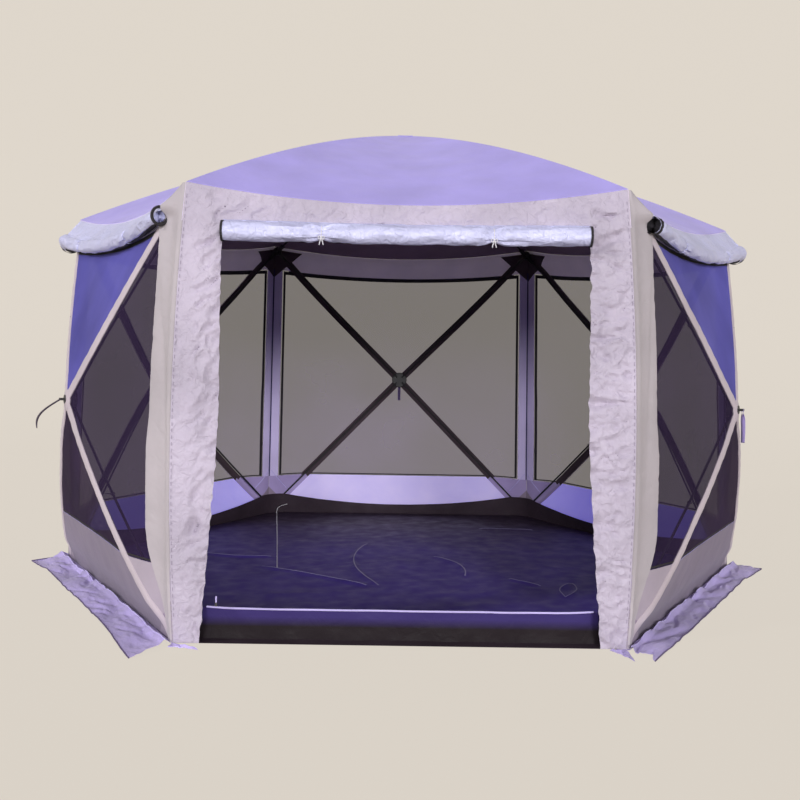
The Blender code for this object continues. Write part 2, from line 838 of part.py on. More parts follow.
def make_roof_frame():
    """Roof hub with six riveted poles down to the eaves corners."""
    hub = roof_hub_frame()
    turns = [corner_angle(corner) for corner in range(SIDES)]
    mesh = make_hub_mesh("roof_hub", ROOF_HUB_RADIUS, ROOF_PIVOT_RADIUS, turns)
    place("roof_hub", mesh, "hub_plastic", hub)
    pole = None
    for corner in range(SIDES):
        joint_point = eaves_joint(corner)
        matrix, short_by = roof_arm(joint_point)
        if pole is None:
            length = pole_length(matrix, joint_point, short_by)
            pole = make_pole_mesh("roof_pole", length, ROOF_POLE_BOW)
        place(f"roof_pole_{CORNER_NAMES[corner]}", pole, "pole_glass_fibre", matrix)


def joint_body(place_frame, arms):
    """Ball with a slotted arm for each pole, in its own frame. arms are (pole frame, tip's set)."""
    to_own = place_frame.to_3x3().transposed()
    bm = bmesh.new()
    bmesh.ops.create_uvsphere(
        bm,
        u_segments=JOINT_SIDES,
        v_segments=JOINT_SIDES // 2,
        radius=JOINT_RADIUS,
    )
    mesh = finished(bm)
    slot_half = POLE_DIAMETER / 2 + RUNNING_GAP
    frames = []
    for pole, short_by in arms:
        x_axis = to_own @ -pole.col[0].to_3d()
        y_axis = to_own @ pole.col[1].to_3d()
        frames.append((frame_matrix(Vector(), x_axis, y_axis), short_by))
    for frame, short_by in frames:
        width = slot_half + ARM_CHEEK
        reach = short_by + ARM_GRIP
        arm = box((0, -width, -ARM_DEPTH / 2), (reach, width, ARM_DEPTH / 2), frame)
        mesh = combine(mesh, arm, "UNION")
    for frame, short_by in frames:
        deep = JOINT_RADIUS * 2
        slot = box((SLOT_SET, -slot_half, -deep), (short_by * 3, slot_half, deep), frame)
        mesh = combine(mesh, slot, "DIFFERENCE")
    return mesh


def corner_arms(corner, joint_point):
    """The wall poles that meet at a corner."""
    walls = [wall for wall in (corner - 1, corner) if wall % SIDES in MESH_WALLS]
    return [wall_arm(wall % SIDES, joint_point) for wall in walls]


def joint_frame(corner, centre):
    """A joint's frame: x away from the tent's middle, z up."""
    outward = corner_direction(corner)
    return frame_matrix(centre, outward, UP.cross(outward))


def make_corner_joints():
    """Eaves joints. Those with two wall poles are alike, and the doorway's have one each."""
    meshes = {}
    for corner in range(SIDES):
        centre = eaves_joint(corner)
        frame = joint_frame(corner, centre)
        kind = corner if corner in (0, 1) else 2
        if kind not in meshes:
            arms = [*corner_arms(corner, centre), roof_arm(centre)]
            meshes[kind] = joint_body(frame, arms)
            meshes[kind].name = f"corner_joint_{kind}"
        name = f"corner_joint_{CORNER_NAMES[corner]}"
        place(name, meshes[kind], "hub_plastic", frame)


def rim_loop(inset):
    """Points round the tub's rim with their height, corners rounded. (x, y, height)"""
    apothem = math.cos(math.pi / SIDES)
    radius = BASE_RADIUS - inset / apothem
    bend = RIM_CORNER_RADIUS - inset + RIM_INSET
    trim = bend * math.tan(math.pi / SIDES)
    loop = []
    for side in range(SIDES):
        start = corner_direction(side) * radius
        end = corner_direction(side + 1) * radius
        along = (end - start).normalized()
        first, last = start + along * trim, end - along * trim
        middle = SILL_HEIGHT if side == 0 else RIM_HEIGHT_MIDDLE
        for step in range(RIM_STEPS + 1):
            share = step / RIM_STEPS
            height = RIM_HEIGHT_CORNER + (middle - RIM_HEIGHT_CORNER) * arch(share)
            loop.append((first.lerp(last, share), height))
        centre = corner_direction(side + 1) * (radius - bend / apothem)
        for step in range(1, RIM_CORNER_STEPS):
            turn = corner_angle(side + 1)
            turn += (step / RIM_CORNER_STEPS - 0.5) * 2 * math.pi / SIDES
            spot = centre + Vector((math.cos(turn), math.sin(turn), 0)) * bend
            loop.append((spot, RIM_HEIGHT_CORNER))
    return loop


def make_floor_tub():
    """Groundsheet with an upright rim, and a pocket at each corner for the pole tips."""
    outer = rim_loop(RIM_INSET)
    inner = rim_loop(RIM_INSET + RIM_THICKNESS)
    bottom = FLOOR_THICKNESS / 2
    points = []
    for loop in (outer, inner):
        points += [spot + UP * bottom for spot, _ in loop]
        points += [spot + UP * height for spot, height in loop]
    count = len(outer)
    faces = []
    for n in range(count):
        m = (n + 1) % count
        low_out, high_out, low_in, high_in = (k * count for k in range(4))
        faces.append((low_out + n, low_out + m, high_out + m, high_out + n))
        faces.append((high_out + n, high_out + m, high_in + m, high_in + n))
        faces.append((high_in + n, high_in + m, low_in + m, low_in + n))
        faces.append((low_in + n, low_in + m, low_out + m, low_out + n))
    rim = mesh_from("rim", points, faces)
    edge = [corner_direction(corner) * BASE_RADIUS for corner in range(SIDES)]
    top = [p + UP * FLOOR_THICKNESS for p in edge]
    sheet_faces = [tuple(range(SIDES)), tuple(range(SIDES, SIDES * 2))]
    for n in range(SIDES):
        m = (n + 1) % SIDES
        sheet_faces.append((n, m, SIDES + m, SIDES + n))
    sheet = mesh_from("sheet", edge + top, sheet_faces)
    mesh = combine(sheet, rim, "UNION")
    for corner in range(SIDES):
        centre = foot_joint(corner)
        frame = joint_frame(corner, centre)
        pocket = joint_body(frame, corner_arms(corner, centre))
        pocket.transform(frame)
        mesh = combine(mesh, pocket, "UNION")
    mesh.name = "floor_tub"
    place("floor_tub", mesh, "floor_sheet")


def flap_rise(step, reach):
    """Crumpled height of the ground flap, 0 where it is sewn on and where it touches down."""
    folds = 0.5 + 0.5 * math.cos(math.pi * step)
    return FLAP_RISE * arch(reach) * folds


def make_ground_flaps():
    """Flaps sewn round the foot of the five hub walls and lying on the ground."""
    across_shares = (0, 0.5, 1)
    stations = []
    total = (SIDES - 1) * FLAP_STEPS
    for step in range(total + 1):
        wall = 1 + min(step // FLAP_STEPS, SIDES - 2)
        share = step / FLAP_STEPS - (wall - 1)
        start = corner_direction(wall) * (BASE_RADIUS + SEAM_GAP * 2)
        end = corner_direction(wall + 1) * (BASE_RADIUS + SEAM_GAP * 2)
        along, _, _ = wall_axes(wall)
        inner = start.lerp(end, share)
        direction = flat_outward(wall)
        if step % FLAP_STEPS == 0 and 0 < step < total:
            direction = corner_direction(wall) / math.cos(math.pi / SIDES)
        outer = inner + direction * FLAP_WIDTH
        if step == 0:
            outer -= along * FLAP_FLARE
        if step == total:
            outer += along * FLAP_FLARE
        stations.append((step, inner, outer))
    grids = ([], [])
    for step, inner, outer in stations:
        low = [inner.lerp(outer, s) + UP * flap_rise(step, s) for s in across_shares]
        grids[0].append(low)
        grids[1].append([p + UP * FLAP_THICKNESS for p in low])
    columns = len(across_shares) - 1
    mesh = sheet_solid("ground_flaps", *grids, total, columns)
    place("ground_flaps", mesh, "flap_cloth")


def roll_mesh(name, centres, tops, out, radius):
    """A rolled cloth with the flap that it hangs by.

    centres are the roll's middle points, tops the flap's upper edge above each of them,
    and out points away from the wall.
    """
    points = []
    count = 0
    for station, (centre, top) in enumerate(zip(centres, tops)):
        share = station / (len(centres) - 1)
        near_tie = min(abs(share - tie) for tie in ROLL_TIES_SHARES)
        own = radius - (TIE_PINCH if near_tie < 0.5 / len(centres) else 0)
        ring = [top + out * CLOTH, top]
        for n in range(ROLL_SIDES):
            turn = math.radians(100) + math.radians(340) * n / (ROLL_SIDES - 1)
            ring.append(
                centre + out * (math.cos(turn) * own) + UP * (math.sin(turn) * own)
            )
        count = len(ring)
        points += ring
    faces = [tuple(range(count)), tuple(range(len(points) - count, len(points)))]
    for station in range(len(centres) - 1):
        for n in range(count):
            a = station * count + n
            b = station * count + (n + 1) % count
            faces.append((a, b, b + count))
            faces.append((a, b + count, a + count))
    return mesh_from(name, points, faces)


def cover_roll_stand(wall, across, drop):
    """How far out of the eaves seam a cover roll's middle lies so that it clears the wall."""
    out = flat_outward(wall)
    seam = panel_point(wall, across, 1)
    stand = 0
    for step in range(WALL_CELLS * 2):
        rise = 1 - step / WALL_CELLS * (drop + COVER_ROLL_RADIUS) / EAVES_HEIGHT
        skin = panel_point(wall, across, rise)
        level = skin.z - (seam.z - drop)
        if abs(level) < COVER_ROLL_RADIUS:
            reach = math.sqrt(COVER_ROLL_RADIUS**2 - level**2)
            stand = max(stand, (skin - seam).dot(out) + reach)
    return stand + COVER_ROLL_CLEAR


def make_cover_rolls():
    """Weather covers rolled up and tied under the eaves outside the five mesh walls."""
    for wall in MESH_WALLS:
        along, _, _ = wall_axes(wall)
        out = flat_outward(wall)
        half = half_width(1)
        near_end = 1 - COVER_ROLL_SHORT / half
        places = [-near_end, *panel_places()[1:-1], near_end]
        past_end = 1 + COVER_ROLL_PAST / half
        if wall == 1:
            places += [1, past_end]
        if wall == SIDES - 1:
            places = [-past_end, -1, *places]
        centres, tops = [], []
        for spot in places:
            across = max(-1, min(1, spot))
            past = along * ((spot - across) * half)
            drop = COVER_ROLL_RADIUS + COVER_ROLL_DROP
            seam = panel_point(wall, across, 1)
            stand = cover_roll_stand(wall, max(-near_end, min(near_end, across)), drop)
            centres.append(seam + past + out * stand - UP * drop)
            tops.append(seam + past + out * SEAM_GAP - UP * SEAM_GAP)
        name = f"cover_roll_{WALL_NAMES[wall]}"
        mesh = roll_mesh(name, centres, tops, out, COVER_ROLL_RADIUS)
        place(name, mesh, "cover_cloth")


def make_door_roll():
    """The door rolled up and tied in front of the doorway's header."""
    out = flat_outward(0)
    centres, tops = [], []
    for column in range(JAMB_COLUMNS, door_columns() - JAMB_COLUMNS + 1):
        head = head_share(column)
        centre = wall_point(0, door_across(column, head), head, SEAM_GAP)
        centre += out * (DOOR_ROLL_RADIUS + SEAM_GAP)
        share = (column - JAMB_COLUMNS) / HEADER_COLUMNS
        centre.z = HEAD_HEIGHT - DOOR_ROLL_RADIUS - DOOR_ROLL_SAG * arch(share)
        centres.append(centre)
        seam = head + DOOR_ROLL_SEAM / EAVES_HEIGHT
        tops.append(wall_point(0, door_across(column, seam), seam, SEAM_GAP))
    mesh = roll_mesh("door_roll", centres, tops, out, DOOR_ROLL_RADIUS)
    place("door_roll", mesh, "cover_cloth")


def slider_frame(wall, side, height):
    """On the inner face of a wall near one corner: x along the wall, y down, z inward."""

    def skin(rise, from_corner):
        across = side * (1 - from_corner / half_width(rise))
        return panel_point(wall, across, rise, -CLOTH - SEAM_GAP)

    rise = height / EAVES_HEIGHT
    spot = skin(rise, SLIDER_FROM_CORNER)
    upward = (skin(0.5, SLIDER_FROM_CORNER) - spot).normalized()
    aside = (skin(rise, SLIDER_FROM_CORNER / 2) - spot) * side
    return frame_matrix(spot, upward.cross(aside).cross(upward), -upward)


def make_zip_sliders():
    """Sliders of the window covers' zips, on the two walls beside the rear wall."""
    body = box(
        (-SLIDER_WIDTH / 2, -SLIDER_LENGTH / 2, 0),
        (SLIDER_WIDTH / 2, SLIDER_LENGTH / 2, SLIDER_THICKNESS),
    )
    bm = bmesh.new()
    bm.from_mesh(body)
    bmesh.ops.bevel(
        bm, geom=list(bm.edges), offset=SLIDER_BEVEL, segments=1, affect="EDGES"
    )
    body = finished(bm)
    pull_low = SLIDER_THICKNESS - PULL_THICKNESS / 2
    pull = box(
        (-PULL_WIDTH / 2, 0, pull_low),
        (PULL_WIDTH / 2, PULL_LENGTH, pull_low + PULL_THICKNESS),
    )
    mesh = combine(body, pull, "UNION")
    mesh.name = "zip_slider"
    places = (
        ("zip_slider_left", 4, -1, SLIDER_HEIGHT_LEFT),
        ("zip_slider_right", 2, 1, SLIDER_HEIGHT_RIGHT),
    )
    for name, wall, side, height in places:
        place(name, mesh, "zip_metal", slider_frame(wall, side, height))


def main():
    clear_scene()
    make_roof_canopy()
    make_wall_panels()
    make_door_wall()
    make_floor_tub()
    make_ground_flaps()
    make_roof_frame()
    make_wall_crosses()
    make_corner_joints()
    make_cover_rolls()
    make_door_roll()
    make_zip_sliders()
    return 0


main()
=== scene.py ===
"""Looks of the six-sided pop-up kitchen tent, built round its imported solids.

Metres, +Z up. The origin is on the ground at the tent's centre and the doorway faces -Y.
Corners are counted anticlockwise seen from above, from the doorway's left post, and wall
number i runs from corner i to corner i + 1, so wall 0 is the doorway.
"""

from __future__ import annotations

import json
import logging
import math
from dataclasses import dataclass
from enum import Enum
from functools import partial
from typing import Callable, Sequence

import bmesh
import bpy
from bpy.types import ID, Material, Node, NodeSocket, NodeTree, Object
from mathutils import Matrix, Vector, noise

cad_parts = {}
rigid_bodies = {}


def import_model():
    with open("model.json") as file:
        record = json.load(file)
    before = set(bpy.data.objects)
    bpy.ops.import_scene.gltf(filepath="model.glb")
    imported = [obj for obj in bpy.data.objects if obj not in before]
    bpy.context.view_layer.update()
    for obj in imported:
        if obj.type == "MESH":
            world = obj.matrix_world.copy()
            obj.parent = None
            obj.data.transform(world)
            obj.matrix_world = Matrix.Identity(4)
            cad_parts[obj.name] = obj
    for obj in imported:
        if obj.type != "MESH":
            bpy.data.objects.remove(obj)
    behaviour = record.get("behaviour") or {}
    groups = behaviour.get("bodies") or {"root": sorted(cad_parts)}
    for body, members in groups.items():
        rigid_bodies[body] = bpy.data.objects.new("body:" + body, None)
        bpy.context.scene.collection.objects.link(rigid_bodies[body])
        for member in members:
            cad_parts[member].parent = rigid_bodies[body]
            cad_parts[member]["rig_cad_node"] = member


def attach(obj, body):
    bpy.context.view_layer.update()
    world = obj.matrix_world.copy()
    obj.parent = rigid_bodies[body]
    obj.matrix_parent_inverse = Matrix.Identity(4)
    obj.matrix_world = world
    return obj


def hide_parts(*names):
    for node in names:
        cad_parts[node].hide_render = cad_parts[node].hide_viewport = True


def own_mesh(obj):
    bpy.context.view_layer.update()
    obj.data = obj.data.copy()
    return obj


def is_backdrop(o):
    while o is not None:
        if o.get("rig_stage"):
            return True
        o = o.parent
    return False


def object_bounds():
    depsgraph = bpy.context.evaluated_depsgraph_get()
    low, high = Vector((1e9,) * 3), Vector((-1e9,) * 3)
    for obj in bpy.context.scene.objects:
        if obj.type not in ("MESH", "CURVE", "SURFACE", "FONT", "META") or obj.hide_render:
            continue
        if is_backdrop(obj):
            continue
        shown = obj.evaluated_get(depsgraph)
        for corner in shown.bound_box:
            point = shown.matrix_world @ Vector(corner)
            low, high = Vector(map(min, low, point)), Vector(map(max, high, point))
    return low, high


LOG = logging.getLogger("kitchen_tent")
UP = Vector((0, 0, 1))
SIDES = 6
BODY = "tent"
WALL_NAMES = ("door", "right_front", "right_rear", "rear", "left_rear", "left_front")
CORNER_NAMES = (
    "front_left", "front_right", "wide_right", "rear_right", "rear_left", "wide_left",
)
SHARP_ANGLE = math.radians(40)

Grid = list[list[Vector]]
Pair = tuple[float, float]
Triple = tuple[float, float, float]


def linear(value: float) -> float:
    """Linear value of a 0-255 screen value."""
    share = value / 255
    return share / 12.92 if share <= 0.04045 else ((share + 0.055) / 1.055) ** 2.4


def colour(red: float, green: float, blue: float) -> tuple[float, float, float, float]:
    """Linear colour with alpha from 0-255 screen values."""
    return (linear(red), linear(green), linear(blue), 1.0)


def ease(share: float) -> float:
    """Smooth step from 0 to 1, held at both ends."""
    share = min(max(share, 0.0), 1.0)
    return share * share * (3 - 2 * share)


def arch(share: float) -> float:
    """0 at both ends and 1 half way."""
    return 4 * share * (1 - share)


@dataclass(frozen=True)
class TentShape:
    """The tent's sizes and the places on its cloth, the same as in the solids."""

    base_radius: float = 1.80
    corner_lean_in: float = 0.070
    eaves_height: float = 1.82
    roof_rise: float = 0.474
    eaves_sag: float = 0.075
    eaves_draw_in: float = 0.020
    ridge_bow: float = 0.050
    hub_bulge: float = 0.245
    cloth_bow: float = 0.012
    cloth_belly: float = 0.020
    post_bow: float = 0.055
    cloth: float = 0.002
    gore_hollow_share: float = 0.35
    wall_ease_share: float = 0.15
    foot_height: float = 0.0024
    joint_inset: float = 0.045
    joint_radius: float = 0.030
    wall_hub_set_in: float = 0.0324
    wall_pivot_radius: float = 0.034
    wall_hub_travel: float = 0.210
    roof_hub_travel: float = 0.280
    split_height: float = 1.87

    def corner_direction(self, corner: int) -> Vector:
        """Level direction from the centre to a corner."""
        angle = math.radians(240 + 60 * corner)
        return Vector((math.cos(angle), math.sin(angle), 0))

    def corner_point(self, corner: int, rise: float) -> Vector:
        """Cloth corner at a share of the eaves height, with its post straight."""
        reach = self.base_radius - self.corner_lean_in * rise
        return self.corner_direction(corner) * reach + UP * self.eaves_height * rise

    def axes(self, wall: int) -> tuple[Vector, Vector, Vector]:
        """Along the wall anticlockwise, up the wall, and out of it.

        Args:
            wall: number of the wall.

        Returns:
            The three directions.
        """
        start, end = self.corner_direction(wall), self.corner_direction(wall + 1)
        along = (end - start).normalized()
        middle = (start + end) / 2
        upward = (UP * self.eaves_height - middle * self.corner_lean_in).normalized()
        return along, upward, along.cross(upward)

    def flat_outward(self, wall: int) -> Vector:
        """Level direction out of a wall."""
        outward = self.axes(wall)[2]
        return Vector((outward.x, outward.y, 0)).normalized()

    def foot_middle(self, wall: int) -> Vector:
        """Middle of a wall's flat plane at the ground."""
        middle = self.corner_direction(wall) + self.corner_direction(wall + 1)
        return middle / 2 * self.base_radius

    def half_width(self, rise: float) -> float:
        """Half of a wall's width at a share of the eaves height."""
        return (self.base_radius - self.corner_lean_in * rise) / 2

    def bulge(self, across: float, rise: float) -> float:
        """Height of a hub wall's cloth over its flat plane.

        Args:
            across: -1 at the wall's first corner, 1 at its second.
            rise: share of the eaves height.

        Returns:
            The height, in metres.
        """
        level = 2 * rise - 1
        share = max(1 - max(abs(across), abs(level)), 0)
        gentle = ease(share / self.wall_ease_share)
        belly = min(max(-level, 0) / self.wall_ease_share, 1)
        stand = self.cloth_bow + self.cloth_belly * belly
        return (self.hub_bulge * share + stand * arch(share)) * gentle

    def bow(self, corner: int, rise: float) -> Vector:
        """How far one of the doorway's two posts bows out."""
        bowed = self.post_bow * arch(rise) if corner % SIDES in (0, 1) else 0
        return self.corner_direction(corner) * bowed

    def wall_point(self, wall: int, across: float, rise: float, lift: float = 0) -> Vector:
        """A point of a wall's cloth.

        Args:
            wall: number of the wall.
            across: -1 at the wall's first corner, 1 at its second.
            rise: share of the eaves height.
            lift: metres out of the wall.

        Returns:
            The point.
        """
        across *= 1 - (self.cloth * 0.58 + 0.0002) / self.half_width(rise)
        start, end = self.corner_point(wall, rise), self.corner_point(wall + 1, rise)
        point = start.lerp(end, (1 + across) / 2)
        point += self.bow(wall, rise) * max(-across, 0) ** 2
        point += self.bow(wall + 1, rise) * max(across, 0) ** 2
        sag = max(1 - across * across, 0) * max(rise, 0) ** 4
        point -= UP * self.eaves_sag * sag + self.flat_outward(wall) * self.eaves_draw_in * sag
        height = self.bulge(across, rise) if wall % SIDES else 0
        return point + self.axes(wall)[2] * (height + lift)

    def peak(self) -> float:
        """Height of the roof's top."""
        return self.eaves_height + self.roof_rise

    def roof_point(self, gore: int, across: float, run: float) -> Vector:
        """Top of the roof cloth. run is 0 at the eaves and 1 at the peak.

        Args:
            gore: number of the gore, counted like the walls.
            across: -1 at the wall's first corner, 1 at its second.
            run: 0 at the eaves, 1 at the peak.

        Returns:
            The point.
        """
        seam = self.wall_point(gore, across, 1) + UP * (self.cloth + 0.0004)
        height = seam.z + (self.peak() - seam.z) * run
        hollow = 1 - self.gore_hollow_share * (1 - across * across)
        height += self.ridge_bow * arch(run) * hollow
        return Vector((seam.x * (1 - run), seam.y * (1 - run), height))

    def eaves_joint(self, corner: int) -> Vector:
        """Middle of an eaves corner joint."""
        reach = self.base_radius - self.corner_lean_in - self.joint_inset
        return self.corner_direction(corner) * reach + UP * (self.eaves_height - 0.035)

    def foot_joint(self, corner: int) -> Vector:
        """Middle of a foot pocket."""
        reach = self.base_radius - self.joint_inset
        return self.corner_direction(corner) * reach + UP * (self.joint_radius + 0.001)

    def hub_centre(self, wall: int) -> Vector:
        """Middle of a wall's hub.

        Args:
            wall: number of the wall.

        Returns:
            The point.
        """
        along, upward, outward = self.axes(wall)
        middle = self.foot_middle(wall)
        lean = self.corner_point(wall, 1) + self.corner_point(wall + 1, 1)
        return (middle + lean / 2) / 2 + outward * (self.hub_bulge - self.wall_hub_set_in)

    def rivet(self, wall: int, joint: Vector) -> Vector:
        """The rivet in a wall's hub that holds the pole to a joint.

        Args:
            wall: number of the wall.
            joint: middle of the pole's corner joint.

        Returns:
            The point.
        """
        outward = self.axes(wall)[2]
        centre = self.hub_centre(wall)
        towards = joint - centre
        towards -= outward * towards.dot(outward)
        return centre + towards.normalized() * self.wall_pivot_radius


@dataclass(frozen=True)
class Folds:
    """One scale of creases in a cloth, as a height over a place in metres."""

    depth: float
    length: float
    spacing: float
    turn: float = 0.0
    sharp: float = 0.5
    seed: float = 0.0

    def height(self, across: float, up: float) -> float:
        """Height of the creases at a place on the cloth, in metres.

        Args:
            across: metres across the cloth.
            up: metres up the cloth.

        Returns:
            The height, in metres.
        """
        turn = math.radians(self.turn)
        a = (across * math.cos(turn) + up * math.sin(turn)) / self.length
        b = (-across * math.sin(turn) + up * math.cos(turn)) / self.spacing
        drift = noise.noise(Vector((a * 0.7, b * 0.4, self.seed + 7.3)))
        value = noise.noise(Vector((a, b + drift, self.seed)))
        ridge = 0.6 - 2.2 * abs(value)
        return self.depth * (value * (1 - self.sharp) + ridge * self.sharp)


def folds_height(folds: Sequence[Folds], across: float, up: float) -> float:
    """Sum of several scales of creases."""
    return sum(fold.height(across, up) for fold in folds)


class Weave(Enum):
    """Surface kinds of the tent's cloths."""

    PLAIN = "plain"
    WEBBING = "webbing"
    COATED = "coated"


@dataclass(frozen=True)
class Finish:
    """A finish by its name and tint. Its material is made once."""

    name: str
    tint: Triple

    def build(self) -> Material:
        """Makes the material, or finds it if it was made before.

        Returns:
            The material.
        """
        found = bpy.data.materials.get(self.name)
        if found:
            return found
        made = bpy.data.materials.new(self.name)
        made.use_nodes = True
        made.diffuse_color = colour(*self.tint)
        self.dress(Shading(made.node_tree))
        return made

    def dress(self, tree: Shading) -> None:
        """Adds the finish's own nodes."""
        raise NotImplementedError

    def shade(self, factor: float, more: float = 0.0) -> tuple[float, ...]:
        """The tint made darker or lighter, at most white."""
        return tuple(min(c * factor + more, 1) for c in colour(*self.tint)[:3]) + (1.0,)


@dataclass(frozen=True)
class ClothFinish(Finish):
    """A woven or coated cloth."""

    roughness: float = 0.8
    weave: Weave = Weave.PLAIN
    thread: float = 0.0016
    crumple: float = 0.35
    crumple_size: float = 0.05
    crumple_depth: float = 0.006
    mottle: float = 0.10
    sheen: float = 0.15
    metallic: float = 0.0
    specular: float = 0.5
    # Colour that the tint fades into along an axis; only painted shade uses it.
    upper: Triple | None = None
    upper_from: Pair = (0.0, 1.0)
    upper_axis: str = "Z"
    # Strength and colour of an emission of painted light, for cloth that looks lit through but is no lamp.
    glow: float = 0.0
    glow_tint: Triple = (255, 255, 255)

    def dress(self, tree: Shading) -> None:
        """Adds blotches, crumples, threads, a painted-shade fade and painted-light emission.

        Args:
            tree: what adds the nodes.
        """
        dark, light = self.shade(1 - self.mottle), self.shade(1 + self.mottle * 0.6)
        tint = tree.ramp(tree.noise(scale=3.5, detail=4), dark, light, 0.32, 0.68)
        # Painted shade: the tint fades towards the upper colour along an axis.
        if self.upper:
            tint = tree.fade(tint, colour(*self.upper), *self.upper_from, self.upper_axis)
        tree.link(tint, "Base Color")
        low, high = max(self.roughness - 0.10, 0.05), min(self.roughness + 0.10, 1)
        tree.link(tree.spread(tree.noise(scale=11, detail=2), low, high), "Roughness")
        fine = tree.noise(scale=1 / self.crumple_size, detail=5, distortion=0.8)
        bump = tree.bump(fine, strength=self.crumple, distance=self.crumple_depth)
        thread = tree.threads(self.weave, self.thread)
        tree.link(tree.bump(thread, strength=0.25, distance=0.0004, after=bump), "Normal")
        tree.set("Sheen Weight", self.sheen)
        tree.set("Sheen Roughness", 0.5)
        tree.set("Specular IOR Level", self.specular)
        tree.set("Metallic", self.metallic)
        # Painted light: an emission on cloth that is no lamp.
        tree.set("Emission Strength", self.glow)
        tree.set("Emission Color", colour(*self.glow_tint))


@dataclass(frozen=True)
class NettingFinish(Finish):
    """See-through insect netting."""

    cover: float

    def dress(self, tree: Shading) -> None:
        """Adds the netting's streaks and threads.

        Args:
            tree: what adds the nodes.
        """
        streak = tree.noise(scale=2.2, detail=3)
        tree.link(tree.ramp(streak, self.shade(0.8), self.shade(1.25), 0.3, 0.7), "Base Color")
        thread = tree.threads(Weave.PLAIN, 0.0022)
        tree.link(tree.bump(thread, strength=0.2, distance=0.0005), "Normal")
        tree.set("Roughness", 0.9)
        tree.set("Specular IOR Level", 0.2)
        tree.set("Alpha", self.cover)


@dataclass(frozen=True)
class HardFinish(Finish):
    """Moulded plastic, glass fibre or coated metal."""

    roughness: float
    metallic: float = 0.0
    grain: float = 0.1
    grain_scale: float = 300.0

    def dress(self, tree: Shading) -> None:
        """Adds the wear and the grain.

        Args:
            tree: what adds the nodes.
        """
        wear = tree.noise(scale=22, detail=5)
        dark, light = self.shade(0.8), self.shade(1.3, 0.004)
        tree.link(tree.ramp(wear, dark, light, 0.35, 0.7), "Base Color")
        rub = tree.noise(scale=60, detail=3)
        tree.link(tree.spread(rub, self.roughness - 0.08, self.roughness + 0.12), "Roughness")
        grain = tree.noise(scale=self.grain_scale, detail=2)
        tree.link(tree.bump(grain, strength=self.grain, distance=0.0005), "Normal")
        tree.set("Metallic", self.metallic)


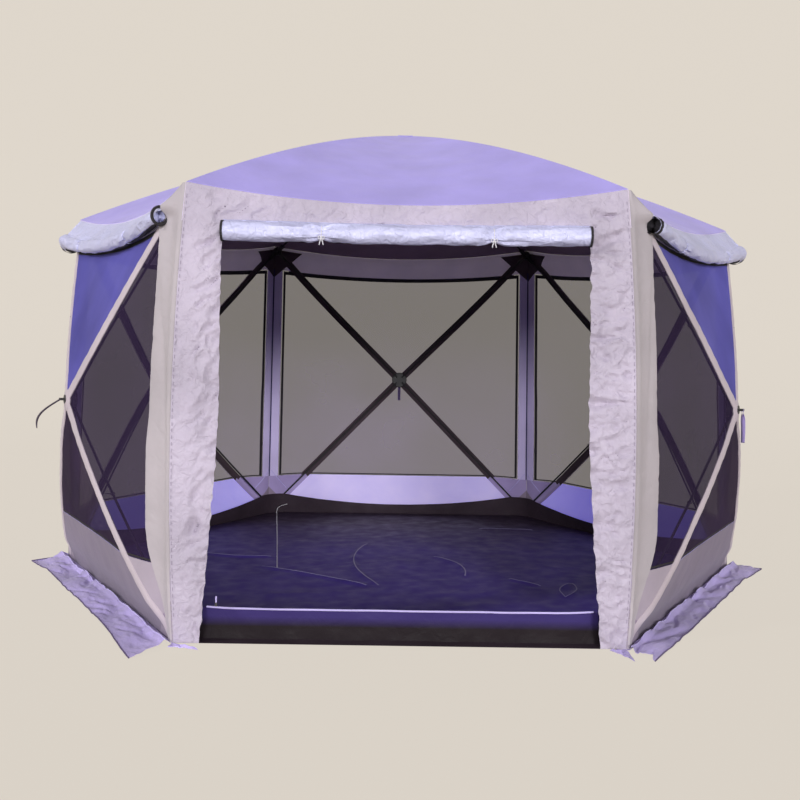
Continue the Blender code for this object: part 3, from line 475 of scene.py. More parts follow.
class Shading:
    """Short ways to add nodes in front of a material's main shader."""

    def __init__(self, tree: NodeTree) -> None:
        """Takes a material's nodes and adds the places that its textures read.

        Args:
            tree: the material's nodes.
        """
        self.tree = tree
        self.shader = tree.nodes["Principled BSDF"]
        self.places = tree.nodes.new("ShaderNodeTexCoord")

    def link(self, output: NodeSocket, name: str) -> None:
        """Joins an output to one of the shader's inputs."""
        self.tree.links.new(output, self.shader.inputs[name])

    def set(self, name: str, value: float | tuple[float, ...]) -> None:
        """Sets one of the shader's inputs to a plain number or colour."""
        self.shader.inputs[name].default_value = value

    def add(self, kind: str, **values: float | tuple[float, ...]) -> Node:
        """Adds a node and sets some of its inputs.

        Args:
            kind: the node's type.
            values: inputs to set, with _ for a space.

        Returns:
            The node.
        """
        node = self.tree.nodes.new(f"ShaderNode{kind}")
        for name, value in values.items():
            node.inputs[name.replace("_", " ")].default_value = value
        return node

    def noise(self, scale: float, detail: float, distortion: float = 0.0) -> NodeSocket:
        """Cloudy values over the surface.

        Args:
            scale: clouds in a metre.
            detail: number of finer layers.
            distortion: how much the clouds are twisted.

        Returns:
            The values.
        """
        node = self.add("TexNoise", Scale=scale, Detail=detail, Distortion=distortion)
        self.tree.links.new(self.places.outputs["Object"], node.inputs["Vector"])
        return node.outputs["Fac"]

    def threads(self, weave: Weave, pitch: float) -> NodeSocket:
        """Height of woven threads, from two sets of bands over the cloth's own places.

        Args:
            weave: kind of cloth.
            pitch: metres between threads.

        Returns:
            The height.
        """
        bands = []
        for direction in ("X", "Y"):
            narrow = 1.0 if weave is not Weave.WEBBING or direction == "X" else 0.5
            node = self.add("TexWave", Scale=narrow / pitch / 10)
            node.bands_direction = direction
            self.tree.links.new(self.places.outputs["UV"], node.inputs["Vector"])
            bands.append(node.outputs["Fac"])
        mix = self.add("Math")
        mix.operation = "MAXIMUM" if weave is Weave.COATED else "MULTIPLY"
        for socket, band in zip(mix.inputs, bands):
            self.tree.links.new(band, socket)
        return mix.outputs["Value"]

    def ramp(
        self, value: NodeSocket, low: tuple, high: tuple, start: float, end: float
    ) -> NodeSocket:
        """Colours between two ends.

        Args:
            value: the output to use.
            low: first colour.
            high: last colour.
            start: value at the first colour.
            end: value at the last colour.

        Returns:
            The colours.
        """
        node = self.add("ValToRGB")
        for element, place, shade in zip(node.color_ramp.elements, (start, end), (low, high)):
            element.position = place
            element.color = shade
        self.tree.links.new(value, node.inputs["Fac"])
        return node.outputs["Color"]

    def fade(
        self, lower: NodeSocket, upper: tuple, start: float, end: float, axis: str
    ) -> NodeSocket:
        """Turns one colour into another between two places along an axis.

        Args:
            lower: first colour.
            upper: last colour.
            start: metres at the first colour.
            end: metres at the last colour.
            axis: X, Y or Z.

        Returns:
            The colours.
        """
        split = self.add("SeparateXYZ")
        self.tree.links.new(self.places.outputs["Object"], split.inputs["Vector"])
        share = self.add("MapRange", From_Min=start, From_Max=end)
        self.tree.links.new(split.outputs[axis], share.inputs["Value"])
        mix = self.add("Mix")
        mix.data_type = "RGBA"
        self.tree.links.new(share.outputs["Result"], mix.inputs[0])
        self.tree.links.new(lower, mix.inputs[6])
        mix.inputs[7].default_value = upper
        return mix.outputs[2]

    def spread(self, value: NodeSocket, low: float, high: float) -> NodeSocket:
        """A value spread between two numbers.

        Args:
            value: the output to use.
            low: least result.
            high: greatest result.

        Returns:
            The values.
        """
        node = self.add("MapRange", From_Min=0.3, From_Max=0.7, To_Min=low, To_Max=high)
        self.tree.links.new(value, node.inputs["Value"])
        return node.outputs["Result"]

    def bump(
        self, height: NodeSocket, strength: float, distance: float, after: NodeSocket | None = None
    ) -> NodeSocket:
        """Relief from a height, laid over an earlier relief if one is given.

        Args:
            height: the height.
            strength: share of it that shows.
            distance: metres from low to high.
            after: the earlier relief.

        Returns:
            The relief.
        """
        node = self.add("Bump", Strength=strength, Distance=distance)
        self.tree.links.new(height, node.inputs["Height"])
        if after is not None:
            self.tree.links.new(after, node.inputs["Normal"])
        return node.outputs["Normal"]


@dataclass(frozen=True)
class Finishes:
    """Every finish of the tent."""

    roof_out: ClothFinish = ClothFinish("roof_lavender", (174, 161, 234), 0.72, crumple=0.3)
    # The roof's inside is a darker mauve than its outside.
    roof_in: ClothFinish = ClothFinish(
        "roof_dark_coating", (134, 112, 130), 0.7, Weave.COATED, sheen=0, specular=0.2
    )
    header: ClothFinish = ClothFinish(
        "doorway_cloth", (185, 174, 192), 0.55, crumple=1.0, crumple_size=0.035,
        crumple_depth=0.011, mottle=0.14,
    )
    post_strip: ClothFinish = ClothFinish("post_strip_beige", (180, 171, 176), 0.7, crumple=0.5)
    header_in: ClothFinish = ClothFinish("doorway_cloth_inside", (120, 108, 128), 0.85)
    band_out: ClothFinish = ClothFinish("lower_band_taupe", (119, 104, 128), 0.85)
    # Painted light: a brightened tint and a violet emission stand in for sunlight through the rear wall's
    # band.
    band_in: ClothFinish = ClothFinish(
        "lower_band_lavender", (232, 218, 255), 0.85, glow=0.14, glow_tint=(80, 74, 255)
    )
    # Painted light: a brightened tint and a stronger violet emission stand in for sunlight through the
    # side walls' bands.
    band_side: ClothFinish = ClothFinish(
        "lower_band_violet", (222, 211, 255), 0.85, glow=0.30, glow_tint=(118, 108, 255)
    )
    # Painted shade: a darker copy of the band's inside, for the gores beside the corners.
    band_turned: ClothFinish = ClothFinish("lower_band_shaded", (172, 154, 204), 0.85)
    band_pale: ClothFinish = ClothFinish("lower_band_pale", (170, 157, 170), 0.85)
    strip_out: ClothFinish = ClothFinish("top_strip_pale", (214, 206, 244), 0.8)
    # Painted light: a brightened tint and a faint emission lift the strip's inside out of the header's
    # shade.
    strip_in: ClothFinish = ClothFinish(
        "top_strip_inside", (244, 228, 255), 0.85, glow=0.026, glow_tint=(255, 243, 235)
    )
    edge_in: ClothFinish = ClothFinish("corner_strip_inside", (212, 198, 240), 0.85)
    tape_out: ClothFinish = ClothFinish(
        "arm_tape_beige", (196, 182, 190), 0.85, Weave.WEBBING, thread=0.003, crumple=0.15
    )
    # Painted shade: a dark copy of the beige tape for its inside, as if in shadow; the eaves patches use
    # it too.
    tape_in: ClothFinish = ClothFinish(
        "arm_tape_dark", (66, 52, 60), 0.9, Weave.WEBBING, thread=0.003, crumple=0.15, sheen=0
    )
    binding: ClothFinish = ClothFinish("binding_black", (26, 22, 28), 0.8, Weave.WEBBING, sheen=0)
    seam: ClothFinish = ClothFinish("corner_seam_blue", (44, 36, 92), 0.8, Weave.WEBBING, sheen=0)
    stitch: ClothFinish = ClothFinish("stitching_grey", (148, 136, 156), 0.8, Weave.WEBBING, 0.001)
    patch: ClothFinish = ClothFinish("corner_patch", (146, 130, 150), 0.85)
    flap: ClothFinish = ClothFinish(
        "ground_flap_lavender", (186, 170, 226), 0.7, crumple=0.8, mottle=0.22
    )
    hem: ClothFinish = ClothFinish("flap_hem_violet", (98, 84, 122), 0.8, Weave.WEBBING, sheen=0)
    silver: ClothFinish = ClothFinish(
        "cover_silver", (204, 204, 238), 0.5, Weave.COATED, crumple=1.0, crumple_size=0.03,
        crumple_depth=0.010, sheen=0, metallic=0.12,
    )
    # The covers' dark lining, also used as painted shade on each roll's underside.
    lining: ClothFinish = ClothFinish("cover_dark_side", (38, 35, 42), 0.8, Weave.COATED, sheen=0)
    # Painted highlight: pale glint lines along the groundsheet's creases.
    worn: ClothFinish = ClothFinish("groundsheet_worn_line", (150, 140, 190), 0.6, Weave.COATED)
    # Painted shade: the groundsheet fades to near-black towards its rear rim.
    floor: ClothFinish = ClothFinish(
        "groundsheet_blue", (80, 62, 156), 0.44, Weave.COATED, thread=0.003, crumple=0.16,
        crumple_size=0.16, mottle=0.10, sheen=0, specular=0.24,
        upper=(52, 40, 60), upper_from=(0.25, 1.15), upper_axis="Y",
    )
    # Painted shade: the rim is near-black, as if in its own shadow.
    rim: ClothFinish = ClothFinish(
        "groundsheet_rim_dark", (54, 43, 52), 0.7, Weave.COATED, crumple=0.6, mottle=0.2,
        sheen=0, specular=0.15,
    )
    # Painted shade: the sill is near-black below and fades up to blue at its top.
    sill: ClothFinish = ClothFinish(
        "sill_blue_over_dark", (30, 22, 27), 0.6, Weave.COATED, crumple=0.5, sheen=0,
        specular=0.15, upper=(58, 46, 103), upper_from=(0.055, 0.095),
    )
    piping: ClothFinish = ClothFinish("sill_piping", (196, 184, 236), 0.6, Weave.WEBBING)
    webbing: ClothFinish = ClothFinish("strap_lavender", (150, 134, 190), 0.8, Weave.WEBBING)
    dark_webbing: ClothFinish = ClothFinish("strap_dark", (72, 60, 78), 0.8, Weave.WEBBING, sheen=0)
    cord: ClothFinish = ClothFinish("tie_cord_white", (225, 222, 228), 0.8, Weave.WEBBING, 0.001)
    netting: NettingFinish = NettingFinish("netting", (80, 66, 106), 0.74)
    near_netting: NettingFinish = NettingFinish("netting_near", (44, 28, 56), 0.90)
    post_netting: NettingFinish = NettingFinish("netting_beside_post", (40, 26, 56), 0.76)
    # Painted sheen: a near-opaque blue-violet for sky light glancing off the near walls' upper gores.
    blue_netting: NettingFinish = NettingFinish("upper_gore_blue", (90, 86, 168), 0.93)
    plastic: HardFinish = HardFinish("joint_plastic", (30, 29, 32), 0.45)
    rod: HardFinish = HardFinish("pole_glass_fibre", (26, 24, 28), 0.35, 0.0, 0.15)
    metal: HardFinish = HardFinish("zip_metal", (70, 68, 74), 0.35, 1.0)


def sew_on(piece: Object, slot: str) -> None:
    """Fixes a piece to the tent's body."""
    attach(piece, BODY)


def add_object(name: str, data: ID) -> Object:
    """Adds an object with its mesh, lamp or camera to the scene.

    Args:
        name: its name.
        data: its mesh, lamp or camera.

    Returns:
        The object.
    """
    item = bpy.data.objects.new(name, data)
    bpy.context.collection.objects.link(item)
    return item


def smooth_object(
    name: str, bm: bmesh.types.BMesh, finish: Material
) -> Object:
    """Adds a smooth object of one material, and frees the mesh that it is made from.

    Args:
        name: name of the piece.
        bm: the mesh that it is made from.
        finish: its material.

    Returns:
        The object.
    """
    mesh = bpy.data.meshes.new(name)
    bm.to_mesh(mesh)
    bm.free()
    mesh.materials.append(finish)
    mesh.shade_smooth()
    return add_object(name, mesh)


def grid_of(rows: Sequence, columns: Sequence, point: Callable[..., Vector]) -> Grid:
    """Points for every row and column."""
    return [[point(row, column) for column in columns] for row in rows]


def mesh_object(
    name: str,
    points: Sequence[Vector],
    faces: Sequence[Sequence[int]],
    finishes: Sequence[Material],
    slots: Sequence[int] | None = None,
    places: Sequence[Pair] | None = None,
) -> Object:
    """Adds a mesh object.

    Args:
        name: name of the piece.
        points: its points.
        faces: its faces, as numbers of points.
        finishes: its materials.
        slots: each face's material number.
        places: each point's place on the flat cloth, in metres.

    Returns:
        The object.
    """
    mesh = bpy.data.meshes.new(name)
    mesh.from_pydata([tuple(p) for p in points], [], faces)
    for finish in finishes:
        mesh.materials.append(finish)
    if slots is not None:
        mesh.polygons.foreach_set("material_index", list(slots))
    if places is not None:
        layer = mesh.uv_layers.new(name="cloth")
        flat = [places[loop.vertex_index] for loop in mesh.loops]
        layer.data.foreach_set("uv", [value for pair in flat for value in pair])
    mesh.shade_smooth()
    mesh.set_sharp_from_angle(angle=SHARP_ANGLE)
    return add_object(name, mesh)


@dataclass
class Sheet:
    """A sheet of cloth over a grid of points, one layer or two with a rim."""

    name: str
    outer: Grid
    inner: Grid | None = None
    wrap: bool = False
    kept: Callable[[int, int], bool] | None = None
    edge_slot: int = 0

    def build(self, *finishes: Material) -> Object:
        """Makes the sheet. The first material is outside and the last inside.

        Args:
            finishes: its materials.

        Returns:
            The object.
        """
        rows, columns = len(self.outer) - 1, len(self.outer[0]) - (0 if self.wrap else 1)
        width = len(self.outer[0])
        points = [p for row in self.outer for p in row]
        shift = len(points)
        places = self.places()
        if self.inner is not None:
            points += [p for row in self.inner for p in row]
            places += places
        faces: list[tuple[int, ...]] = []
        slots: list[int] = []
        edges: dict[frozenset[int], tuple[int, int] | None] = {}
        last = len(finishes) - 1
        for r in range(rows):
            for c in range(columns):
                if self.kept is not None and not self.kept(r, c):
                    continue
                a, b = r * width + c, r * width + (c + 1) % width
                d, e = a + width, b + width
                for face in self.cell(r, c, (a, b, e, d)):
                    faces.append(face)
                    slots.append(0)
                    if self.inner is not None:
                        faces.append(tuple(shift + p for p in reversed(face)))
                        slots.append(last)
                for side in ((a, b), (b, e), (e, d), (d, a)):
                    key = frozenset(side)
                    edges[key] = None if key in edges else side
        if self.inner is not None:
            for pair in edges.values():
                if pair:
                    p, q = pair
                    faces.append((q, p, shift + p, shift + q))
                    slots.append(self.edge_slot)
        used = sorted({p for face in faces for p in face})
        place_of = {p: n for n, p in enumerate(used)}
        return mesh_object(
            self.name,
            [points[p] for p in used],
            [tuple(place_of[p] for p in face) for face in faces],
            finishes,
            slots,
            [places[p] for p in used],
        )

    def cell(self, r: int, c: int, corners: tuple[int, ...]) -> list[tuple[int, ...]]:
        """Faces of one cell, whose corners run round it from low left. Here it is one face."""
        return [corners]

    def places(self) -> list[Pair]:
        """Each point's place on the flat cloth, from lengths along the middle row and column.

        Returns:
            The places, in metres.
        """
        middle_row = self.outer[len(self.outer) // 2]
        middle = len(self.outer[0]) // 2
        across, up = [0.0], [0.0]
        for a, b in zip(middle_row, middle_row[1:]):
            across.append(across[-1] + (b - a).length)
        for a, b in zip(self.outer, self.outer[1:]):
            up.append(up[-1] + (b[middle] - a[middle]).length)
        return [(u, v) for v in up for u in across]


@dataclass
class CentredSheet(Sheet):
    """A sheet cut out of a wall's square grid, with its cells split towards the wall's middle."""

    edge_slot: int = 1
    first_row: int = 0
    cells: int = 60

    def cell(self, r: int, c: int, corners: tuple[int, ...]) -> list[tuple[int, ...]]:
        """Faces of one cell, split by its place in the whole wall.

        Args:
            r: row of the cell.
            c: column of the cell.
            corners: its points, round it from low left.

        Returns:
            The faces.
        """
        a, b, e, d = corners
        level = 2 * (r + self.first_row) + 1 - self.cells
        if level * (2 * c + 1 - self.cells) >= 0:
            return [(a, b, e), (a, e, d)]
        return [(a, b, d), (b, e, d)]


def tube(
    name: str,
    points: Sequence[Vector],
    radius: float,
    finish: Material,
    closed: bool = False,
    sides: int = 8,
    flat: float = 1.0,
) -> Object:
    """Adds a round or flattened tube along a line of points.

    Args:
        name: name of the piece.
        points: the line.
        radius: half of its width.
        finish: its material.
        closed: whether the line is a loop.
        sides: faces round it.
        flat: its thickness as a share of its width.

    Returns:
        The object.
    """
    count = len(points)
    rings: list[list[Vector]] = []
    side = UP
    for n, point in enumerate(points):
        ahead = points[(n + 1) % count] if closed or n + 1 < count else point
        behind = points[n - 1] if closed or n else point
        along = (ahead - behind).normalized()
        side = side - along * side.dot(along)
        if side.length < 1e-4:
            side = along.orthogonal()
        side.normalize()
        other = along.cross(side)
        ring = []
        for k in range(sides):
            turn = 2 * math.pi * k / sides
            ring.append(
                point + side * (math.cos(turn) * radius * flat) + other * (math.sin(turn) * radius)
            )
        rings.append(ring)
    faces = []
    for n in range(count if closed else count - 1):
        m = (n + 1) % count
        for k in range(sides):
            j = (k + 1) % sides
            faces.append((n * sides + k, n * sides + j, m * sides + j, m * sides + k))
    if not closed:
        faces.append(tuple(range(sides))[::-1])
        faces.append(tuple(range((count - 1) * sides, count * sides)))
    places = [(k * radius, n * radius * 2) for n in range(count) for k in range(sides)]
    return mesh_object(name, [p for r in rings for p in r], faces, [finish], None, places)


def join(name: str, items: Sequence[Object]) -> Object:
    """Joins several objects into the first and names it.

    Args:
        name: name of the piece.
        items: the objects.

    Returns:
        The object.
    """
    with bpy.context.temp_override(
        active_object=items[0], selected_editable_objects=list(items), object=items[0]
    ):
        bpy.ops.object.join()
    items[0].name = name
    items[0].data.name = name
    return items[0]


def rounded_box(
    name: str, low: Vector, high: Vector, place: Matrix, rounding: float, finish: Material
) -> Object:
    """Adds a box with rounded edges, in the frame of a matrix.

    Args:
        name: name of the piece.
        low: its lowest corner.
        high: its highest corner.
        place: the matrix.
        rounding: radius of its edges.
        finish: its material.

    Returns:
        The object.
    """
    size = high - low
    bm = bmesh.new()
    fit = Matrix.Translation((low + high) / 2) @ Matrix.Diagonal((*size, 1))
    bmesh.ops.create_cube(bm, size=1, matrix=fit)
    bmesh.ops.bevel(bm, geom=list(bm.edges), offset=rounding, segments=2, affect="EDGES")
    bm.transform(place)
    item = smooth_object(name, bm, finish)
    item.data.set_sharp_from_angle(angle=SHARP_ANGLE)
    return item


@dataclass
class Roof:
    """Six-gored roof cloth, split at a level line into an edge and a crown."""

    shape: TentShape
    finishes: Finishes
    columns: int = 26
    edge_rows: int = 7
    crown_rows: int = 44
    folds: tuple[Folds, ...] = (
        Folds(0.0045, 0.60, 0.16, 84, 0.35, 1.0),
        Folds(0.0020, 0.22, 0.05, 78, 0.6, 2.0),
        Folds(0.0012, 0.09, 0.04, 20, 0.5, 3.0),
    )
    patch_radius: float = 0.075
    patch_rows: int = 4
    patch_columns: int = 8
    edge_depth: float = 0.17
    gore_length: float = 1.58
    crown_share: float = 0.86

    def cloth_point(self, gore: int, across: float, run: float) -> Vector:
        """A point of the wrinkled roof cloth.

        Args:
            gore: number of the gore, counted like the walls.
            across: -1 at the wall's first corner, 1 at its second.
            run: 0 at the eaves, 1 at the peak.

        Returns:
            The point.
        """
        point = self.shape.roof_point(gore, across, run)
        half = self.shape.half_width(1) * (1 - run)
        calm = ease(run / 0.06) * ease((1 - run) / 0.1) * ease((1 - abs(across)) / 0.06)
        height = folds_height(self.folds, across * half + gore * 3.7, run * 1.55)
        pull = abs(across) ** 3 * 0.004 * math.sin(across * 19 + gore) * (1 - run) ** 4
        return point + UP * (height + pull) * calm

    def split_run(self, gore: int, across: float) -> float:
        """Run at which the cloth reaches the split's height.

        Args:
            gore: number of the gore, counted like the walls.
            across: -1 at the wall's first corner, 1 at its second.

        Returns:
            The run.
        """
        low, high = 0.0, 0.5
        for _ in range(30):
            middle = (low + high) / 2
            if self.shape.roof_point(gore, across, middle).z < self.shape.split_height:
                low = middle
            else:
                high = middle
        return low

    def grid(self, first: float, last: float, rows: int, drop: float) -> Grid:
        """Rows of points. first and last are 0 at the eaves, 1 at the split and 2 at the peak.

        Args:
            first: place of the first row.
            last: place of the last row.
            rows: number of cells between them.
            drop: metres under the cloth's top.

        Returns:
            The points.
        """
        around = [
            (gore, 2 * column / self.columns - 1)
            for gore in range(SIDES)
            for column in range(self.columns)
        ]
        runs = {place: self.split_run(*place) for place in around}
        grid = []
        for row in range(rows + 1):
            share = first + (last - first) * row / rows
            line = []
            for place in around:
                split = runs[place]
                run = share * split if share <= 1 else split + (0.996 - split) * (share - 1)
                line.append(self.cloth_point(*place, run) - UP * drop)
            grid.append(line)
        return grid

    def build(self) -> None:
        """Makes the edge, the crown and the peak's patch."""
        out, inside = self.finishes.roof_out.build(), self.finishes.roof_in.build()
        cloth = self.shape.cloth
        made = []
        for name, first, last, rows in (
            ("roof_edge", 0, 1, self.edge_rows),
            ("roof_crown_cloth", 1, 2, self.crown_rows),
        ):
            layers = [self.grid(first, last, rows, drop) for drop in (0, cloth)]
            piece = Sheet(name, *layers, wrap=True).build(out, inside)
            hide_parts("roof_canopy")
            made.append(piece)
        edge, crown = made
        peak = self.peak_patch()
        keep = 1 - self.shape.roof_hub_travel / (self.shape.peak() - self.shape.split_height)
        for piece in made + [peak]:
            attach(piece, BODY)
        for piece in (crown, peak):
            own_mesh(piece)

    def peak_patch(self) -> Object:
        """Round patch sewn over the peak.

        Returns:
            The object.
        """

        def point(lift: float, row: int, column: int) -> Vector:
            """A point of the patch.

            Args:
                lift: metres over the roof.
                row: row of the grid.
                column: column of the grid.

            Returns:
                The point.
            """
            gore, share = divmod(column, self.patch_columns)
            reach = self.patch_radius * (1 - row / (self.patch_rows + 0.02))
            run = 1 - reach / (self.shape.base_radius - self.shape.corner_lean_in)
            across = share / (self.patch_columns / 2) - 1
            return self.shape.roof_point(gore, across, min(run, 0.9985)) + UP * lift

        rows, columns = range(self.patch_rows + 1), range(SIDES * self.patch_columns)
        layers = [grid_of(rows, columns, partial(point, lift)) for lift in (0.0030, 0.0012)]
        patch = Sheet("roof_peak_patch", *layers, wrap=True).build(self.finishes.roof_out.build())
        return patch


@dataclass
class WallPanel:
    """A mesh wall: netting, lower band, top strip, corner strips and the cross of tapes."""

    shape: TentShape
    finishes: Finishes
    wall: int
    cells: int = 60
    strip_rows: int = 5
    edge_columns: int = 2
    tape_width: float = 0.050
    binding_width: float = 0.014
    patch_size: float = 0.16
    eaves_patch_size: float = 0.19
    band_lift: float = 0.0014
    strip_lift: float = 0.0018
    corner_strip_lift: float = 0.0017
    tape_lift: float = 0.0034
    tape_reach: Pair = (0.035, 0.985)
    tape_steps: int = 60
    crease_slope: float = 1.02
    clip_radius: float = 0.0090
    clip_share: float = 0.42
    clip_stand: float = 0.012
    hub_patch_reaches: tuple[float, ...] = (0.009, 0.02, 0.035, 0.05)
    hub_patch_lifts: Pair = (0.0048, -0.0042)
    seam_inset: float = 0.0075
    seam_radius: float = 0.0042
    foot_seam_inset: float = 0.0052
    foot_seam_radius: float = 0.0026
    foot_seam_rise: float = 0.158
    foot_seam_fall: float = 0.072
    foot_seam_start: float = 0.012
    foot_seam_run: float = 0.105
    binding_lifts: Pair = (0.0010, -0.0022)
    binding_inset: float = 0.003
    patch_lifts: Pair = (0.0022, -0.0024)
    eaves_patch_lifts: Pair = (-0.0022, -0.0050)
    folds: tuple[Folds, ...] = (
        Folds(0.0030, 0.9, 0.14, 90, 0.3, 11.0),
        Folds(0.0012, 0.3, 0.05, 80, 0.5, 12.0),
    )

    @property
    def name(self) -> str:
        """Name of the wall."""
        return WALL_NAMES[self.wall]

    @property
    def near_door(self) -> bool:
        """Whether the wall stands beside the doorway."""
        return self.wall in (1, SIDES - 1)

    @property
    def band_rows(self) -> int:
        """Rows of the wall's grid in the lower band, which is taller beside the doorway."""
        return 10 if self.near_door else 8

    def rise(self, row: float) -> float:
        """Share of the eaves height of a row of the wall's grid."""
        foot = self.shape.foot_height / self.shape.eaves_height
        return foot + (1 - foot) * row / self.cells

    def point(self, across: float, rise: float, lift: float = 0) -> Vector:
        """A point of the wall's cloth with its slack.

        Args:
            across: -1 at the wall's first corner, 1 at its second.
            rise: share of the eaves height.
            lift: metres out of the cloth.

        Returns:
            The point.
        """
        x = across * self.shape.half_width(rise)
        up = rise * self.shape.eaves_height
        calm = ease((1 - abs(across)) / 0.12) * ease(rise / 0.05) * ease((1 - rise) / 0.1)
        slack = folds_height(self.folds, x + self.wall * 5.1, up) * calm
        return self.shape.wall_point(self.wall, across, rise, lift + slack)

    def grid(self, first: int, last: int, lift: float, low: int = 0, high: int = 0) -> Grid:
        """Points of the wall's grid between two rows and two columns.

        Args:
            first: first row.
            last: last row.
            lift: metres out of the cloth.
            low: first column.
            high: last column, or 0 for the wall's own.

        Returns:
            The points.
        """
        rows, columns = range(first, last + 1), range(low, (high or self.cells) + 1)
        return grid_of(
            rows, columns, lambda r, c: self.point(2 * c / self.cells - 1, self.rise(r), lift)
        )

    def keep(self, piece: Object, slot: str, flat: Pair, area: float = 0) -> None:
        """Fixes a cloth of this wall to the tent's body and gives it its own mesh.

        Args:
            piece: the cloth.
            slot: name of its material slot.
            flat: not used.
            area: not used.
        """
        sew_on(piece, slot)
        outward = self.shape.axes(self.wall)[2]
        area or None
        self.shape.foot_middle(self.wall)
        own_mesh(piece)
        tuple(outward)

    def build(self) -> None:
        """Makes every cloth of the wall."""
        self.netting()
        self.lower_band()
        self.corner_strips()
        self.bindings()
        self.tapes()
        self.patches()
        self.clips()
        self.top_strip()
        if self.wall > 1:
            self.corner_seam()

    def netting(self) -> None:
        """Netting between the lower band and the top strip, in three kinds beside the doorway."""
        rows = self.cells - self.band_rows - self.strip_rows
        grid = self.grid(self.band_rows, self.cells - self.strip_rows, 0)
        nets = [self.finishes.netting]
        if self.near_door:
            finishes = self.finishes
            # Beside the doorway, the upper gore's blue netting is painted sheen.
            nets = [finishes.near_netting, finishes.blue_netting, finishes.post_netting]
        name, low = f"netting_{self.name}", self.band_rows
        sheet = CentredSheet(name, grid, first_row=low, cells=self.cells)
        piece = sheet.build(*[net.build() for net in nets])
        if self.near_door:
            for face in piece.data.polygons:
                face.material_index = self.gore(face.center)
        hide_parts(f"wall_panel_{self.name}")
        width = self.shape.half_width(0.5) * 2
        self.keep(piece, "wall_mesh", (width, self.shape.eaves_height * rows / self.cells * 1.02))

    def from_hub(self, point: Vector) -> Pair:
        """How far a point is from the hub, along the wall and up it.

        Args:
            point: the point.

        Returns:
            Metres along the wall and up it.
        """
        along, upward, _ = self.shape.axes(self.wall)
        local = point - self.shape.hub_centre(self.wall)
        return local.dot(along), local.dot(upward)

    def gore(self, point: Vector) -> int:
        """Netting of a point: 1 in the upper gore, 2 in the gore beside the post, or else 0.

        Args:
            point: the point.

        Returns:
            Number of its material.
        """
        along, level = self.from_hub(point)
        across = along * (-1 if self.wall == 1 else 1)
        if level > abs(across) * self.crease_slope:
            return 1
        return 2 if across > abs(level) / self.crease_slope else 0

    def in_side_gore(self, point: Vector) -> bool:
        """Whether a point is in one of the gores beside the wall's corners."""
        along, level = self.from_hub(point)
        return abs(along) > abs(level) / self.crease_slope

    def lower_band(self) -> None:
        """Solid cloth round the foot of the wall, with painted shade inside in its corner gores."""
        finishes = self.finishes
        layers = [self.grid(0, self.band_rows, lift) for lift in (self.band_lift, -self.band_lift)]
        inside = finishes.band_in if self.wall == SIDES // 2 else finishes.band_side
        sheet = CentredSheet(f"lower_band_{self.name}", *layers, cells=self.cells)
        piece = sheet.build(finishes.band_out.build(), inside.build())
        piece.data.materials.append(finishes.band_turned.build())
        piece.data.materials.append(finishes.band_pale.build())
        # Painted shade: inside faces in the side gores take the band's darker copy.
        for face in piece.data.polygons:
            if face.material_index and self.in_side_gore(face.center):
                face.material_index = 2
            elif self.near_door and not face.material_index and self.gore(face.center) == 2:
                face.material_index = 3
        self.keep(piece, "wall_mesh", (self.shape.base_radius, 0.03 * self.band_rows + 0.01))

    def top_strip(self) -> None:
        """Solid strip under the eaves, which stays still with the seam."""
        first = self.cells - self.strip_rows
        lifts = (self.strip_lift, -self.strip_lift)
        layers = [self.grid(first, self.cells, lift) for lift in lifts]
        name = f"top_strip_{self.name}"
        sheet = CentredSheet(name, *layers, first_row=first, cells=self.cells)
        # The strip's inside finish carries painted light.
        piece = sheet.build(self.finishes.strip_out.build(), self.finishes.strip_in.build())
        sew_on(piece, "wall_mesh")
        width = self.shape.half_width(1) * 2

    def corner_strips(self) -> None:
        """Upright strips where two walls meet, except at the doorway's posts."""
        top, lifts = self.cells - self.strip_rows, (self.corner_strip_lift, -self.corner_strip_lift)
        for side, label, low in ((-1, "first", 0), (1, "second", self.cells - self.edge_columns)):
            if self.beside_post(side):
                continue
            high = low + self.edge_columns
            layers = [self.grid(self.band_rows, top, lift, low, high) for lift in lifts]
            piece = Sheet(f"corner_strip_{self.name}_{label}", *layers, edge_slot=1).build(
                self.finishes.strip_out.build(), self.finishes.edge_in.build()
            )
            self.keep(piece, "wall_mesh", (0.06, 1.45))

    def corner_seam(self) -> None:
        """Dark seam up the inside of the corner before this wall, and two pale ones at its foot."""
        shape, steps = self.shape, 30
        inward = -shape.corner_direction(self.wall) * self.seam_inset
        low, high = self.rise(8), self.rise(self.cells - self.strip_rows)
        rises = [low + (high - low) * n / steps for n in range(steps + 1)]
        line = [shape.wall_point(self.wall, -1, rise) + inward for rise in rises]
        parts = [tube("seam", line, self.seam_radius, self.finishes.seam.build(), sides=6)]
        pale = self.finishes.piping.build()
        for wall, side in ((self.wall - 1, 1), (self.wall, -1)):
            inside = -shape.axes(wall)[2] * self.foot_seam_inset
            foot = []
            for n in range(9):
                rise = self.foot_seam_rise - self.foot_seam_fall * n / 8
                reach = self.foot_seam_start + self.foot_seam_run * n / 8
                across = side * (1 - reach / shape.half_width(rise))
                foot.append(shape.wall_point(wall, across, rise) + inside)
            parts.append(tube("seam", foot, self.foot_seam_radius, pale, sides=6))
        sew_on(join(f"corner_seam_{CORNER_NAMES[self.wall]}", parts), "wall_mesh")

    def beside_post(self, side: int) -> bool:
        """Whether a side of this wall meets one of the doorway's posts."""
        return (self.wall, side) in ((1, -1), (SIDES - 1, 1))

